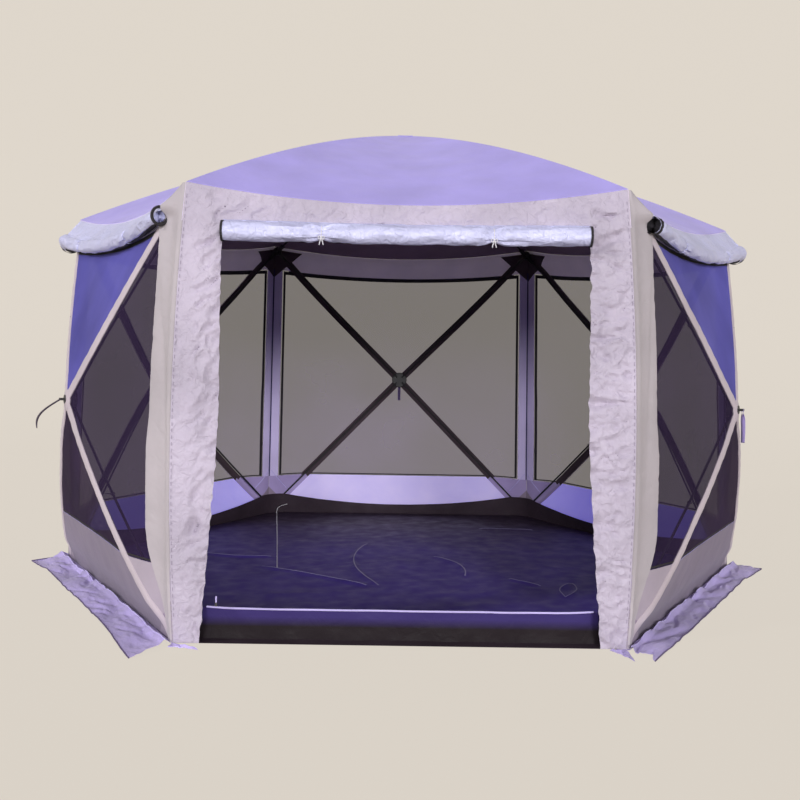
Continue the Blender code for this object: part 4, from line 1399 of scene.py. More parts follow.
    def bindings(self) -> None:
        """Black tape round the edge of the netting."""
        half = self.shape.half_width(0.5)
        side = 1 - 2 * self.edge_columns / self.cells - self.binding_width / 2 / half
        low = self.rise(self.band_rows) + self.binding_inset
        high = self.rise(self.cells - self.strip_rows) - self.binding_inset
        step = self.binding_width / half
        rise_step = self.binding_width / self.shape.eaves_height
        parts = []
        lines = (
            ((-side, low), (side, low), (0, rise_step * 0.5)),
            ((-side, high), (side, high), (0, -rise_step * 1.6)),
            ((-side, low), (-side, high), (step, 0)),
            ((side, low), (side, high), (-step, 0)),
        )
        steps = 60
        for start, end, width in lines:

            def point(lift: float, edge: int, n: int) -> Vector:
                """A point of the tape's edge, at a step along it."""
                place = [
                    start[k] + (end[k] - start[k]) * n / steps + width[k] * edge for k in (0, 1)
                ]
                return self.point(*place, lift)

            layers = [
                grid_of((0, 1), range(steps + 1), partial(point, lift))
                for lift in self.binding_lifts
            ]
            parts.append(Sheet("binding", *layers).build(self.finishes.binding.build()))
        piece = join(f"netting_binding_{self.name}", parts)
        self.keep(piece, "wall_mesh", (0.016, 6.3))

    def tapes(self) -> None:
        """Four tapes from the corners to the hub, and a patch where they meet."""
        # The tapes' dark inside is painted shade.
        out, inside = self.finishes.tape_out.build(), self.finishes.tape_in.build()
        parts = []
        for side, level in ((-1, -1), (-1, 1), (1, -1), (1, 1)):
            lifts = (self.tape_lift, -self.tape_lift)
            layers = [self.tape_grid(side, level, lift) for lift in lifts]
            parts.append(Sheet("tape", *layers).build(out, inside))
        parts.append(self.hub_patch(out, inside))
        piece = join(f"cross_tapes_{self.name}", parts)
        # Painted shade: the tapes' inside faces below the band's top take the band's darker copy.
        piece.data.materials.append(self.finishes.band_turned.build())
        band_top = self.rise(self.band_rows) * self.shape.eaves_height
        for face in piece.data.polygons:
            if face.material_index == 1 and face.center.z < band_top:
                face.material_index = 2
        self.keep(piece, "wall_mesh", (self.tape_width, 4.95))

    def tape_grid(self, side: int, level: int, lift: float) -> Grid:
        """Points of one tape. Its middle line runs along the wall's crease.

        Args:
            side: -1 at the wall's first corner, 1 at its second.
            level: -1 at the foot, 1 at the eaves.
            lift: metres out of the cloth.

        Returns:
            The points.
        """
        height = self.shape.eaves_height
        half = self.shape.half_width(0.5)
        along = Vector((side * half, level * height / 2)).normalized()
        over = Vector((-along.y, along.x))
        first, last = self.tape_reach
        grid = []
        for step in range(self.tape_steps + 1):
            share = first + (last - first) * step / self.tape_steps
            rise = 0.5 + 0.5 * level * (1 - share)
            across = side * (1 - share)
            line = []
            for part in (-1, -0.5, 0, 0.5, 1):
                shift = over * (part * self.tape_width / 2)
                own_rise = rise + shift.y / height
                own_across = across * self.shape.half_width(rise) + shift.x
                own_across /= self.shape.half_width(own_rise)
                own_across = max(-0.999, min(0.999, own_across))
                stand = lift + (0.0006 * math.sin(step * 1.7 + part) if lift > 0 else 0)
                line.append(self.point(own_across, own_rise, stand))
            grid.append(line)
        return grid

    def hub_patch(self, out: Material, inside: Material) -> Object:
        """Eight-sided patch over the meeting of the tapes, with a hole for the bolt.

        Args:
            out: material of the outside.
            inside: material of the inside.

        Returns:
            The object.
        """

        def point(lift: float, reach: float, n: int) -> Vector:
            """A point of the patch.

            Args:
                lift: metres out of the cloth.
                reach: metres from the bolt.
                n: number of the point round it.

            Returns:
                The point.
            """
            turn = 2 * math.pi * n / 32
            across = math.cos(turn) * reach / self.shape.half_width(0.5)
            rise = 0.5 + math.sin(turn) * reach / self.shape.eaves_height
            return self.point(across, rise, lift)

        layers = [
            grid_of(self.hub_patch_reaches, range(32), partial(point, lift))
            for lift in self.hub_patch_lifts
        ]
        return Sheet("patch", *layers, wrap=True).build(out, inside)

    def patches(self) -> None:
        """Three-cornered patches at the foot of each corner, and dark painted-shade ones at the eaves."""
        for level, finish, size, lifts in (
            (0, self.finishes.patch, self.patch_size, self.patch_lifts),
            (1, self.finishes.tape_in, self.eaves_patch_size, self.eaves_patch_lifts),
        ):

            def point(side: int, lift: float, row: int, column: int) -> Vector:
                """A point of the patch on one side of the wall."""
                share = row / 8
                reach = size * (1 - share) * column / 6
                rise = share * size / self.shape.eaves_height
                rise = 1 - 0.01 - rise if level else self.rise(0) + 0.004 + rise
                return self.point(side * (1 - reach / self.shape.half_width(rise)), rise, lift)

            parts = []
            for side in (-1, 1):
                layers = [grid_of(range(9), range(7), partial(point, side, lift)) for lift in lifts]
                parts.append(Sheet("patch", *layers).build(finish.build()))
            label = "eaves" if level else "foot"
            piece = join(f"corner_patches_{label}_{self.name}", parts)
            flat, area = (size, size * 1.1), size * size
            if level:
                sew_on(piece, "wall_mesh")
            else:
                self.keep(piece, "wall_mesh", flat, area)

    def clips(self) -> None:
        """Small webbing loops that hold each pole to its tape."""
        outward = self.shape.axes(self.wall)[2]
        black = self.finishes.binding.build()
        parts = []
        for corner in (self.wall, self.wall + 1):
            for joint in (self.shape.eaves_joint(corner), self.shape.foot_joint(corner)):
                rivet = self.shape.rivet(self.wall, joint)
                middle = rivet.lerp(joint, self.clip_share)
                middle += outward * self.clip_stand * arch(self.clip_share)
                over = (joint - rivet).normalized().cross(outward).normalized()
                turns = [2 * math.pi * n / 16 for n in range(16)]
                ring = [
                    middle
                    + outward * math.cos(turn) * self.clip_radius
                    + over * math.sin(turn) * self.clip_radius
                    for turn in turns
                ]
                parts.append(tube("clip", ring, 0.0018, black, closed=True, sides=6))
                stem = [middle + outward * (0.0095 + 0.022 * n / 3) for n in range(4)]
                parts.append(tube("clip", stem, 0.006, black, sides=8, flat=0.25))
        piece = join(f"pole_clips_{self.name}", parts)
        self.keep(piece, "wall_mesh", (0.03, 0.085))


@dataclass
class DoorWall:
    """Header and jambs of the doorway, and the strips beside its posts on the next walls."""

    shape: TentShape
    finishes: Finishes
    jamb_top: float = 0.150
    jamb_middle: float = 0.172
    jamb_foot: float = 0.101
    head_height: float = 1.665
    rows: int = 210
    header_rows: int = 14
    jamb_columns: int = 26
    header_columns: int = 150
    strip_width: float = 0.130
    strip_foot: float = 0.028
    strip_wing: float = 0.03
    flap_edge: Pair = (0.014, 0.092)
    flap_stand: float = 0.046
    flap_rise: float = 0.043
    gusset_from: float = 0.928
    cloth_lifts: Pair = (0.0006, -0.0014)
    strip_lifts: Pair = (0.0105, 0.0085)
    hem_width: float = 0.045
    strip_columns: int = 22
    stitches: int = 64
    stitch_inset: float = 0.006
    stitch_lift: float = 0.0018
    stitch_radius: float = 0.0011
    stitch_share: float = 0.55
    stitch_from: float = 0.06
    stitch_span: float = 0.92
    left_folds: tuple[Folds, ...] = (
        Folds(0.0180, 0.26, 0.075, 56, 0.40, 21.0),
        Folds(0.0165, 0.09, 0.038, 40, 0.50, 22.0),
        Folds(0.0085, 0.045, 0.020, 62, 0.5, 23.0),
    )
    right_folds: tuple[Folds, ...] = (
        Folds(0.0170, 0.14, 0.070, 18, 0.40, 26.0),
        Folds(0.0165, 0.07, 0.038, -16, 0.45, 27.0),
        Folds(0.0085, 0.04, 0.021, 24, 0.5, 28.0),
    )
    strip_folds: tuple[Folds, ...] = (
        Folds(0.0060, 0.60, 0.055, 88, 0.3, 31.0),
        Folds(0.0022, 0.10, 0.035, 30, 0.5, 32.0),
    )

    def jamb_width(self, rise: float) -> float:
        """Width of a jamb at a share of the eaves height.

        Args:
            rise: share of the eaves height.

        Returns:
            The width, in metres.
        """
        upper, lower = ease(2 * rise - 1), max(1 - 2 * rise, 0) ** 1.6
        width = self.jamb_middle + (self.jamb_top - self.jamb_middle) * upper
        return width + (self.jamb_foot - self.jamb_middle) * lower

    def across(self, column: int, rise: float) -> float:
        """Place across the wall of a column of the grid.

        Args:
            column: column of the grid.
            rise: share of the eaves height.

        Returns:
            -1 at the left post, 1 at the right one.
        """
        inner = 1 - self.jamb_width(rise) / self.shape.half_width(rise)
        last = 2 * self.jamb_columns + self.header_columns
        if column <= self.jamb_columns:
            return -1 + (1 - inner) * column / self.jamb_columns
        if column >= last - self.jamb_columns:
            return 1 - (1 - inner) * (last - column) / self.jamb_columns
        return inner * (2 * (column - self.jamb_columns) / self.header_columns - 1)

    def head_share(self, column: int) -> float:
        """Share of the eaves height at which a column reaches the doorway's level top edge.

        Args:
            column: column of the grid.

        Returns:
            The share.
        """
        rise = self.head_height / self.shape.eaves_height
        for _ in range(4):
            sag = (1 - self.across(column, rise) ** 2) * rise**4
            rise = (self.head_height + self.shape.eaves_sag * sag) / self.shape.eaves_height
        return rise

    def rise(self, row: int, column: int) -> float:
        """Share of the eaves height of a point of the grid.

        Args:
            row: row of the grid.
            column: column of the grid.

        Returns:
            The share.
        """
        foot = self.shape.foot_height / self.shape.eaves_height
        head = self.head_share(column)
        if row <= self.rows:
            return foot + (head - foot) * row / self.rows
        return head + (1 - head) * (row - self.rows) / self.header_rows

    def crease(self, across: float, rise: float) -> float:
        """Height of the creases, which lean more steeply on the left jamb than on the right.

        Args:
            across: -1 at the wall's first corner, 1 at its second.
            rise: share of the eaves height.

        Returns:
            The height, in metres.
        """
        half = self.shape.half_width(rise)
        x, up = across * half, rise * self.shape.eaves_height
        calm = ease(rise / 0.02) * ease((1 - rise) / 0.02)
        edge = (1 - abs(across)) * half
        if across < 0:
            calm *= 0.18 * ease(edge / 0.03) + 0.82 * ease((edge - 0.035) / 0.06)
        else:
            calm *= ease(edge / 0.045)
        calm *= 0.5 + 0.5 * ease((abs(across) - 0.70) / 0.15)
        right = ease((x + 0.3) / 0.6)
        left_height = folds_height(self.left_folds, x, up) if right < 1 else 0
        right_height = folds_height(self.right_folds, x, up) if right > 0 else 0
        return (left_height * (1 - right) + right_height * right) * calm

    def cloth_point(self, row: int, column: int, lift: float) -> Vector:
        """A point of the wrinkled doorway cloth.

        Args:
            row: row of the grid.
            column: column of the grid.
            lift: metres out of the cloth.

        Returns:
            The point.
        """
        rise = self.rise(row, column)
        across = self.across(column, rise)
        half = self.shape.half_width(rise)
        height = self.crease(across, rise)
        if row <= self.rows:
            up = rise * self.shape.eaves_height
            inner = 1 - self.jamb_width(rise) / half
            hem = 1 - ease((abs(across) - inner) * half / self.hem_width)
            side = math.copysign(1, across)
            pucker = noise.noise(Vector((up * 26, side * 3, 0))) * 0.007 * hem
            height += noise.noise(Vector((up * 21, side * 9, 4))) * 0.017 * hem
            across += side * pucker / half
        return self.shape.wall_point(0, across, rise, lift + height)

    def build(self) -> None:
        """Makes the doorway cloth and the two strips."""
        columns = 2 * self.jamb_columns + self.header_columns
        rows = self.rows + self.header_rows

        def kept(row: int, column: int) -> bool:
            """Whether a cell is cloth and not the doorway."""
            return row >= self.rows or not self.jamb_columns <= column < columns - self.jamb_columns

        layers = [
            [[self.cloth_point(r, c, lift) for c in range(columns + 1)] for r in range(rows + 1)]
            for lift in self.cloth_lifts
        ]
        out, inside = self.finishes.header.build(), self.finishes.header_in.build()
        piece = Sheet("doorway_cloth", *layers, kept=kept).build(out, inside)
        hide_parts("door_wall")
        sew_on(piece, "door_cloth")
        for wall, side, name in ((SIDES - 1, 1, "left"), (1, -1, "right")):
            self.post_strip(wall, side, name, self.finishes.post_strip.build(), inside)
            self.stitching(-side, name)

    def post_strip(
        self, wall: int, side: int, name: str, out: Material, inside: Material
    ) -> None:
        """Strip of the doorway's cloth that wraps round a post onto the next wall.

        Args:
            wall: number of the next wall.
            side: -1 at the wall's first corner, 1 at its second.
            name: left or right.
            out: material of the outside.
            inside: material of the inside.
        """
        layers = []
        for start, lift in zip(self.cloth_lifts, self.strip_lifts):
            grid = []
            for row in range(self.rows + 1):
                rise = self.shape.foot_height / self.shape.eaves_height
                rise += (1 - rise - 0.001) * row / self.rows
                lens = ease(rise / 0.26) * ease((1 - rise) / 0.06)
                width = self.strip_foot + (self.strip_width - self.strip_foot) * lens
                width += self.strip_wing * math.exp(-(((rise - 0.955) / 0.04) ** 2))
                line = []
                for column in range(self.strip_columns + 1):
                    reach = width * column / self.strip_columns
                    across = side * (1 - reach / self.shape.half_width(rise))
                    up = rise * self.shape.eaves_height
                    share = column / self.strip_columns
                    calm = ease(share / 0.2) * ease(rise / 0.03) * ease((1 - rise) / 0.04)
                    height = folds_height(self.strip_folds, reach + wall, up) * calm
                    stand = start + (lift - start) * ease(share / 0.15)
                    stand += self.gusset(reach, rise)
                    line.append(self.shape.wall_point(wall, across, rise, stand + height))
                grid.append(line if side < 0 else line[::-1])
            layers.append(grid)
        piece = Sheet(f"post_strip_{name}", *layers).build(out, inside)
        sew_on(piece, "door_cloth")

    def gusset(self, reach: float, rise: float) -> float:
        """How far a strip stands out at its top, where it is sewn to the next cover's flap.

        Args:
            reach: metres from the post.
            rise: share of the eaves height.

        Returns:
            The height, in metres.
        """
        down = min((1 - rise) / self.flap_rise, 1)
        edge = self.flap_edge[0] + (self.flap_edge[1] - self.flap_edge[0]) * down
        stand = self.flap_stand * down * ease((rise - self.gusset_from) / 0.03)
        if reach <= edge:
            return stand * ease(reach / edge)
        return stand * (1 - ease((reach - edge) / 0.012))

    def stitching(self, side: int, name: str) -> None:
        """Row of stitches down a post, on the doorway's side of its seam.

        Args:
            side: -1 at the wall's first corner, 1 at its second.
            name: left or right.
        """
        thread = self.finishes.stitch.build()
        parts = []
        for number in range(self.stitches):
            line = []
            for step in range(4):
                part = number + self.stitch_share * step / 3
                rise = self.stitch_from + self.stitch_span * part / self.stitches
                across = side * (1 - self.stitch_inset / self.shape.half_width(rise))
                line.append(self.shape.wall_point(0, across, rise, self.stitch_lift))
            parts.append(tube("stitch", line, self.stitch_radius, thread, sides=6))
        sew_on(join(f"post_stitching_{name}", parts), "door_cloth")


@dataclass
class RolledCloth:
    """A cloth rolled up under its seam, with ties and end loops."""

    name: str
    shape: TentShape
    finishes: Finishes
    node: str
    slot: str
    seam: list[Vector | None]
    centres: list[Vector]
    out: Vector
    radius: float
    core: float
    turns: float
    crush: float
    seed: float
    ties: tuple[float, ...]
    hangs_on: str
    # Start and end, as shares of a turn, of the dark underside band: partly real lining, partly painted
    # shade.
    dark_from: float
    flares: Pair = (1.0, 1.0)
    gathers: Pair = (0.0, 0.0)
    ring_at: str = ""
    tails: bool = False
    steps: int = 22
    flap_steps: int = 6
    flap_degrees: float = 100
    dark_to: float = 0.72
    tie_lift: float = 0.0025
    loop_lift: float = 0.0035
    tie_pinch: Pair = (0.24, 0.36)

    def flare(self, share: float) -> float:
        """Widening of the roll towards its two ends, as a share of its radius.

        Args:
            share: place along the roll, 0 to 1.

        Returns:
            The share.
        """
        length = (self.centres[-1] - self.centres[0]).length
        start = ease(1 - share * length / 0.12)
        end = ease(1 - (1 - share) * length / 0.12)
        return 1 + (self.flares[0] - 1) * start + (self.flares[1] - 1) * end

    def squeeze(self, share: float, turn: float) -> float:
        """How far the roll is drawn in or swells at a place, as a share of its radius.

        Args:
            share: place along the roll, 0 to 1.
            turn: radians round the roll, from straight out.

        Returns:
            The share that is left.
        """
        near = min(abs(share - tie) for tie in self.ties)
        length = (self.centres[-1] - self.centres[0]).length
        pinch = self.tie_pinch[self.tails] * math.exp(-((near * length / 0.030) ** 2))
        bunch = self.crush * (0.5 + math.exp(-near * length / 0.10))
        bunch += self.gathers[0] * math.exp(-share * length / 0.12)
        bunch += self.gathers[1] * math.exp(-(1 - share) * length / 0.12)
        bunch *= ease(min(share, 1 - share) * length / 0.06) * 0.85 + 0.15
        spot = Vector((math.cos(turn) * 1.3, math.sin(turn) * 1.3, share * length * 9 + self.seed))
        fine = Vector((math.cos(turn) * 2.6, math.sin(turn) * 2.6, share * length * 4 + self.seed))
        small = Vector((math.cos(turn) * 2.2, math.sin(turn) * 2.2, share * length * 27 - self.seed))
        swell = bunch * noise.noise(spot) + 0.8 * bunch * (0.3 - abs(noise.noise(fine)))
        swell += 0.55 * bunch * (0.25 - abs(noise.noise(small)))
        swell += 0.10 * math.exp(-near * length / 0.07) * (math.cos(9 * turn + self.seed) - 0.5)
        return (1 - pinch + min(swell, 0.07)) * self.flare(share)

    def surface(self, station: int, turn: float, radius: float) -> Vector:
        """A point of the roll at an angle from straight out.

        Args:
            station: number of the place along the roll.
            turn: radians round the roll, from straight out.
            radius: metres from the roll's middle.

        Returns:
            The point.
        """
        share = station / (len(self.centres) - 1)
        own = radius * self.squeeze(share, turn)
        return (
            self.centres[station] + self.out * (math.cos(turn) * own) + UP * (math.sin(turn) * own)
        )

    def build(self) -> None:
        """Makes the cloth, its ties and its end loops."""
        total = int(self.turns * self.steps)
        pitch = (self.radius - self.core) / self.turns
        top = math.radians(self.flap_degrees)
        grid: Grid = []
        flat = 0.0
        for station in range(len(self.centres)):
            start = self.surface(station, top, self.radius)
            seam = self.seam[station] or start + UP * 0.003
            line = [seam.lerp(start, n / self.flap_steps) for n in range(self.flap_steps)]
            for n in range(1, self.flap_steps):
                place = Vector((station * 0.30, n * 0.55, self.seed + 3.0))
                line[n] += self.out * (noise.noise(place) * self.crush * 0.030 * arch(n / self.flap_steps))
            for n in range(total + 1):
                turn = top - 2 * math.pi * n / self.steps
                line.append(self.surface(station, turn, self.radius - pitch * n / self.steps))
            if station == len(self.centres) // 2:
                flat = sum((b - a).length for a, b in zip(line, line[1:]))
            grid.append(line)
        silver, lining = self.finishes.silver.build(), self.finishes.lining.build()
        piece = Sheet(self.name, grid).build(silver, lining)
        width = len(grid[0]) - 1
        # The outer turn's underside is dark: partly the real lining showing, partly painted shade under
        # the roll.
        dark = [self.flap_steps + round(self.steps * part) for part in (self.dark_from, self.dark_to)]
        for index, face in enumerate(piece.data.polygons):
            column = index % width
            hidden = column > self.steps + self.flap_steps and not self.ring_at
            face.material_index = 1 if column in range(*dark) or hidden else 0
        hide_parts(self.node)
        sew_on(piece, self.slot)
        length = sum((b - a).length for a, b in zip(self.centres, self.centres[1:]))
        LOG.info("%s: cloth %.2f by %.2f m", self.name, length, flat)
        self.bands()

    def bands(self) -> None:
        """Ties that draw the roll in, their ends, and a black loop at each end of the roll."""
        last = len(self.centres) - 1
        for number, tie in enumerate(self.ties):
            station = round(tie * last)
            ring = [
                self.surface(station, 2 * math.pi * n / 28, self.radius + self.tie_lift)
                for n in range(28)
            ]
            tape = self.finishes.cord if self.tails else self.finishes.silver
            parts = [tube("tie", ring, 0.0022, tape.build(), closed=True, sides=6)]
            knot = self.surface(station, math.radians(-35), self.radius + 0.006)
            along = (self.centres[min(station + 1, last)] - self.centres[station - 1]).normalized()
            for side in (-1, 1) if self.tails else ():
                tail = [
                    knot + along * side * 0.008 * (n / 5) - UP * 0.028 * (n / 5) ** 1.3
                    for n in range(6)
                ]
                parts.append(tube("tie", tail, 0.0018, self.finishes.cord.build(), sides=6))
                bow = [
                    knot
                    + along * side * 0.012 * math.sin(math.pi * n / 9)
                    + UP * 0.006 * math.sin(2 * math.pi * n / 9)
                    for n in range(10)
                ]
                parts.append(tube("tie", bow, 0.0016, self.finishes.cord.build(), sides=6))
            sew_on(join(f"{self.name}_tie_{number + 1}", parts), self.slot)
        for end, inward in ((0, 1), (last, -1)):
            side = "start" if end == 0 else "end"
            if side == self.ring_at:
                self.ring(end, side)
                continue
            turns = [2 * math.pi * n / 32 for n in range(32)]
            reach = self.radius + self.loop_lift
            rings = grid_of((end, end + inward), turns, lambda at, turn: self.surface(at, turn, reach))
            layers = []
            for lift in (0.0, -0.0016):
                rows = []
                for ring in rings:
                    middle = sum(ring, Vector()) / len(ring)
                    rows.append([p + (p - middle).normalized() * lift for p in ring])
                layers.append(rows)
            band = Sheet(f"{self.name}_loop_{side}", *layers, wrap=True).build(
                self.finishes.binding.build()
            )
            sew_on(band, self.slot)

    def ring(self, station: int, side: str) -> None:
        """Open loop of black webbing round a gathered end of the roll.

        Args:
            station: number of the place along the roll.
            side: start or end.
        """
        middle = self.centres[station] + UP * 0.004
        reach = self.radius + self.tie_lift
        turns = [2 * math.pi * n / 36 for n in range(36)]
        loop = [
            middle + self.out * math.cos(turn) * reach * 0.92 + UP * math.sin(turn) * reach
            for turn in turns
        ]
        black = self.finishes.binding.build()
        ring = tube(f"{self.name}_loop_{side}", loop, 0.0062, black, closed=True, sides=10)
        sew_on(ring, self.slot)


@dataclass
class Rolls:
    """The door's roll and the five covers' rolls."""

    shape: TentShape
    finishes: Finishes
    door_wall: DoorWall
    door_radius: float = 0.0375
    cover_radius: float = 0.0325
    flap_drop: float = 0.036
    cover_drop: float = 0.082
    cover_reach: float = 0.036
    cover_gap: float = 0.006
    cover_short: float = 0.092
    cover_past: float = 0.055
    flap_short: float = 0.014
    stations: int = 160

    def build(self) -> None:
        """Makes the six rolls."""
        self.door()
        for wall in range(1, SIDES):
            self.cover(wall)

    def door(self) -> None:
        """The door rolled up in front of the header."""
        shape, door = self.shape, self.door_wall
        out = shape.flat_outward(0)
        head = door.head_share(door.jamb_columns)
        half = shape.half_width(head)
        reach = half - door.jamb_width(head)
        seam, centres = [], []
        for n in range(self.stations + 1):
            share = n / self.stations
            across = (2 * share - 1) * reach / half
            sag = shape.eaves_sag * (1 - across * across) * head**4
            rise = (door.head_height + sag) / shape.eaves_height
            centre = shape.wall_point(0, across, rise, 0.0012) + out * (self.door_radius + 0.002)
            centre.z = door.head_height - self.door_radius - 0.004 * arch(share)
            centres.append(centre)
            seam.append(shape.wall_point(0, across, rise + 0.012 / shape.eaves_height, 0.0012))
        RolledCloth(
            "door_cloth_roll", shape, self.finishes, "door_roll", "cover_cloth", seam, centres, out,
            radius=self.door_radius, core=0.012, turns=8.5, crush=0.30, seed=5.0,
            ties=(0.27, 0.735), hangs_on="doorway_cloth", dark_from=0.56, tails=True,
        ).build()

    def cover(self, wall: int) -> None:
        """A weather cover rolled up outside a mesh wall.

        Args:
            wall: number of the wall.
        """
        shape = self.shape
        along = shape.axes(wall)[0]
        out = shape.flat_outward(wall)
        half = shape.half_width(1)
        near, past = 1 - self.cover_short / half, 1 + self.cover_past / half
        start = -past if wall == SIDES - 1 else -near
        end = past if wall == 1 else near
        seam: list[Vector | None] = []
        centres = []
        spread = (self.cover_short - self.flap_short) / half
        ends = 0.72 if wall == SIDES - 1 else 1.0
        for n in range(self.stations + 1):
            share = n / self.stations
            spot = start + (end - start) * share
            across = max(-1.0, min(1.0, spot))
            beyond = along * (spot - across) * half
            drop = self.flap_drop + self.cover_drop
            edge = shape.wall_point(wall, across, 1)
            stand = self.stand(wall, max(-near, min(near, across)), drop)
            free = max(abs(spot) - 1, 0) * half / self.cover_past
            stand -= 0.034 * free * free
            drop += 0.010 * free
            centres.append(edge + beyond + out * stand - UP * drop)
            if spot != across:
                seam.append(None)
                continue
            for side, limit in ((-1, start), (1, end)):
                if abs(limit) < 1:
                    across += side * spread * ease(1 - abs(limit - spot) * half / 0.22)
            seam.append(shape.wall_point(wall, across, 1) + out * 0.003 - UP * 0.004)
        name = WALL_NAMES[wall]
        RolledCloth(
            f"cover_cloth_{name}", shape, self.finishes, f"cover_roll_{name}", "cover_cloth", seam,
            centres, out, radius=self.cover_radius, core=0.009, turns=10.0, crush=0.34,
            seed=wall * 11.0, ties=(0.25, 0.75), hangs_on=f"top_strip_{name}", dark_from=0.50,
            flares=(1.35 if abs(start) > 1 else 1.0, 1.35 if abs(end) > 1 else ends),
            gathers=(0.45 if wall == 1 else 0.0, 0.45 if wall == SIDES - 1 else 0.0),
            ring_at="end" if wall == SIDES - 1 else "",
        ).build()

    def stand(self, wall: int, across: float, drop: float) -> float:
        """How far out of the seam a roll's middle lies so that it clears the wall.

        Args:
            wall: number of the wall.
            across: -1 at the wall's first corner, 1 at its second.
            drop: metres down to the roll's middle.

        Returns:
            The distance, in metres.
        """
        out = self.shape.flat_outward(wall)
        seam = self.shape.wall_point(wall, across, 1)
        stand = 0.0
        for step in range(24):
            rise = 1 - step / 12 * (drop + self.cover_reach) / self.shape.eaves_height
            skin = self.shape.wall_point(wall, across, rise)
            level = skin.z - (seam.z - drop)
            if abs(level) < self.cover_reach:
                reach = math.sqrt(self.cover_reach**2 - level**2)
                stand = max(stand, (skin - seam).dot(out) + reach)
        return stand + self.cover_gap


@dataclass(frozen=True)
class PackingCrease:
    """A sharp crease left in the groundsheet by packing, bent sideways by a length."""

    start: Pair
    end: Pair
    bend: float = 0.0
    rise: float = 0.009
    width: float = 0.022

    def line(self) -> list[Pair]:
        """Places along the crease's ridge.

        Returns:
            The places.
        """
        start, along = Vector(self.start), Vector(self.end) - Vector(self.start)
        aside = Vector((-along.y, along.x)).normalized()
        spots = []
        for n in range(17):
            spot = start + along * (n / 16) - aside * (self.bend * arch(n / 16))
            spots.append((spot.x, spot.y))
        return spots

    def height(self, x: float, y: float) -> float:
        """Height of the crease at a place on the floor.

        Args:
            x: metres to the right.
            y: metres to the back.

        Returns:
            The height, in metres.
        """
        start, along = Vector(self.start), Vector(self.end) - Vector(self.start)
        place = Vector((x, y)) - start
        share = place.dot(along) / along.length_squared
        if not -0.1 < share < 1.1:
            return 0.0
        aside = place.cross(along.normalized()) - self.bend * arch(min(max(share, 0), 1))
        fade = ease((1.1 - share) / 0.2) * ease((share + 0.1) / 0.2)
        return self.rise * max(1 - abs(aside) / self.width, 0) * fade


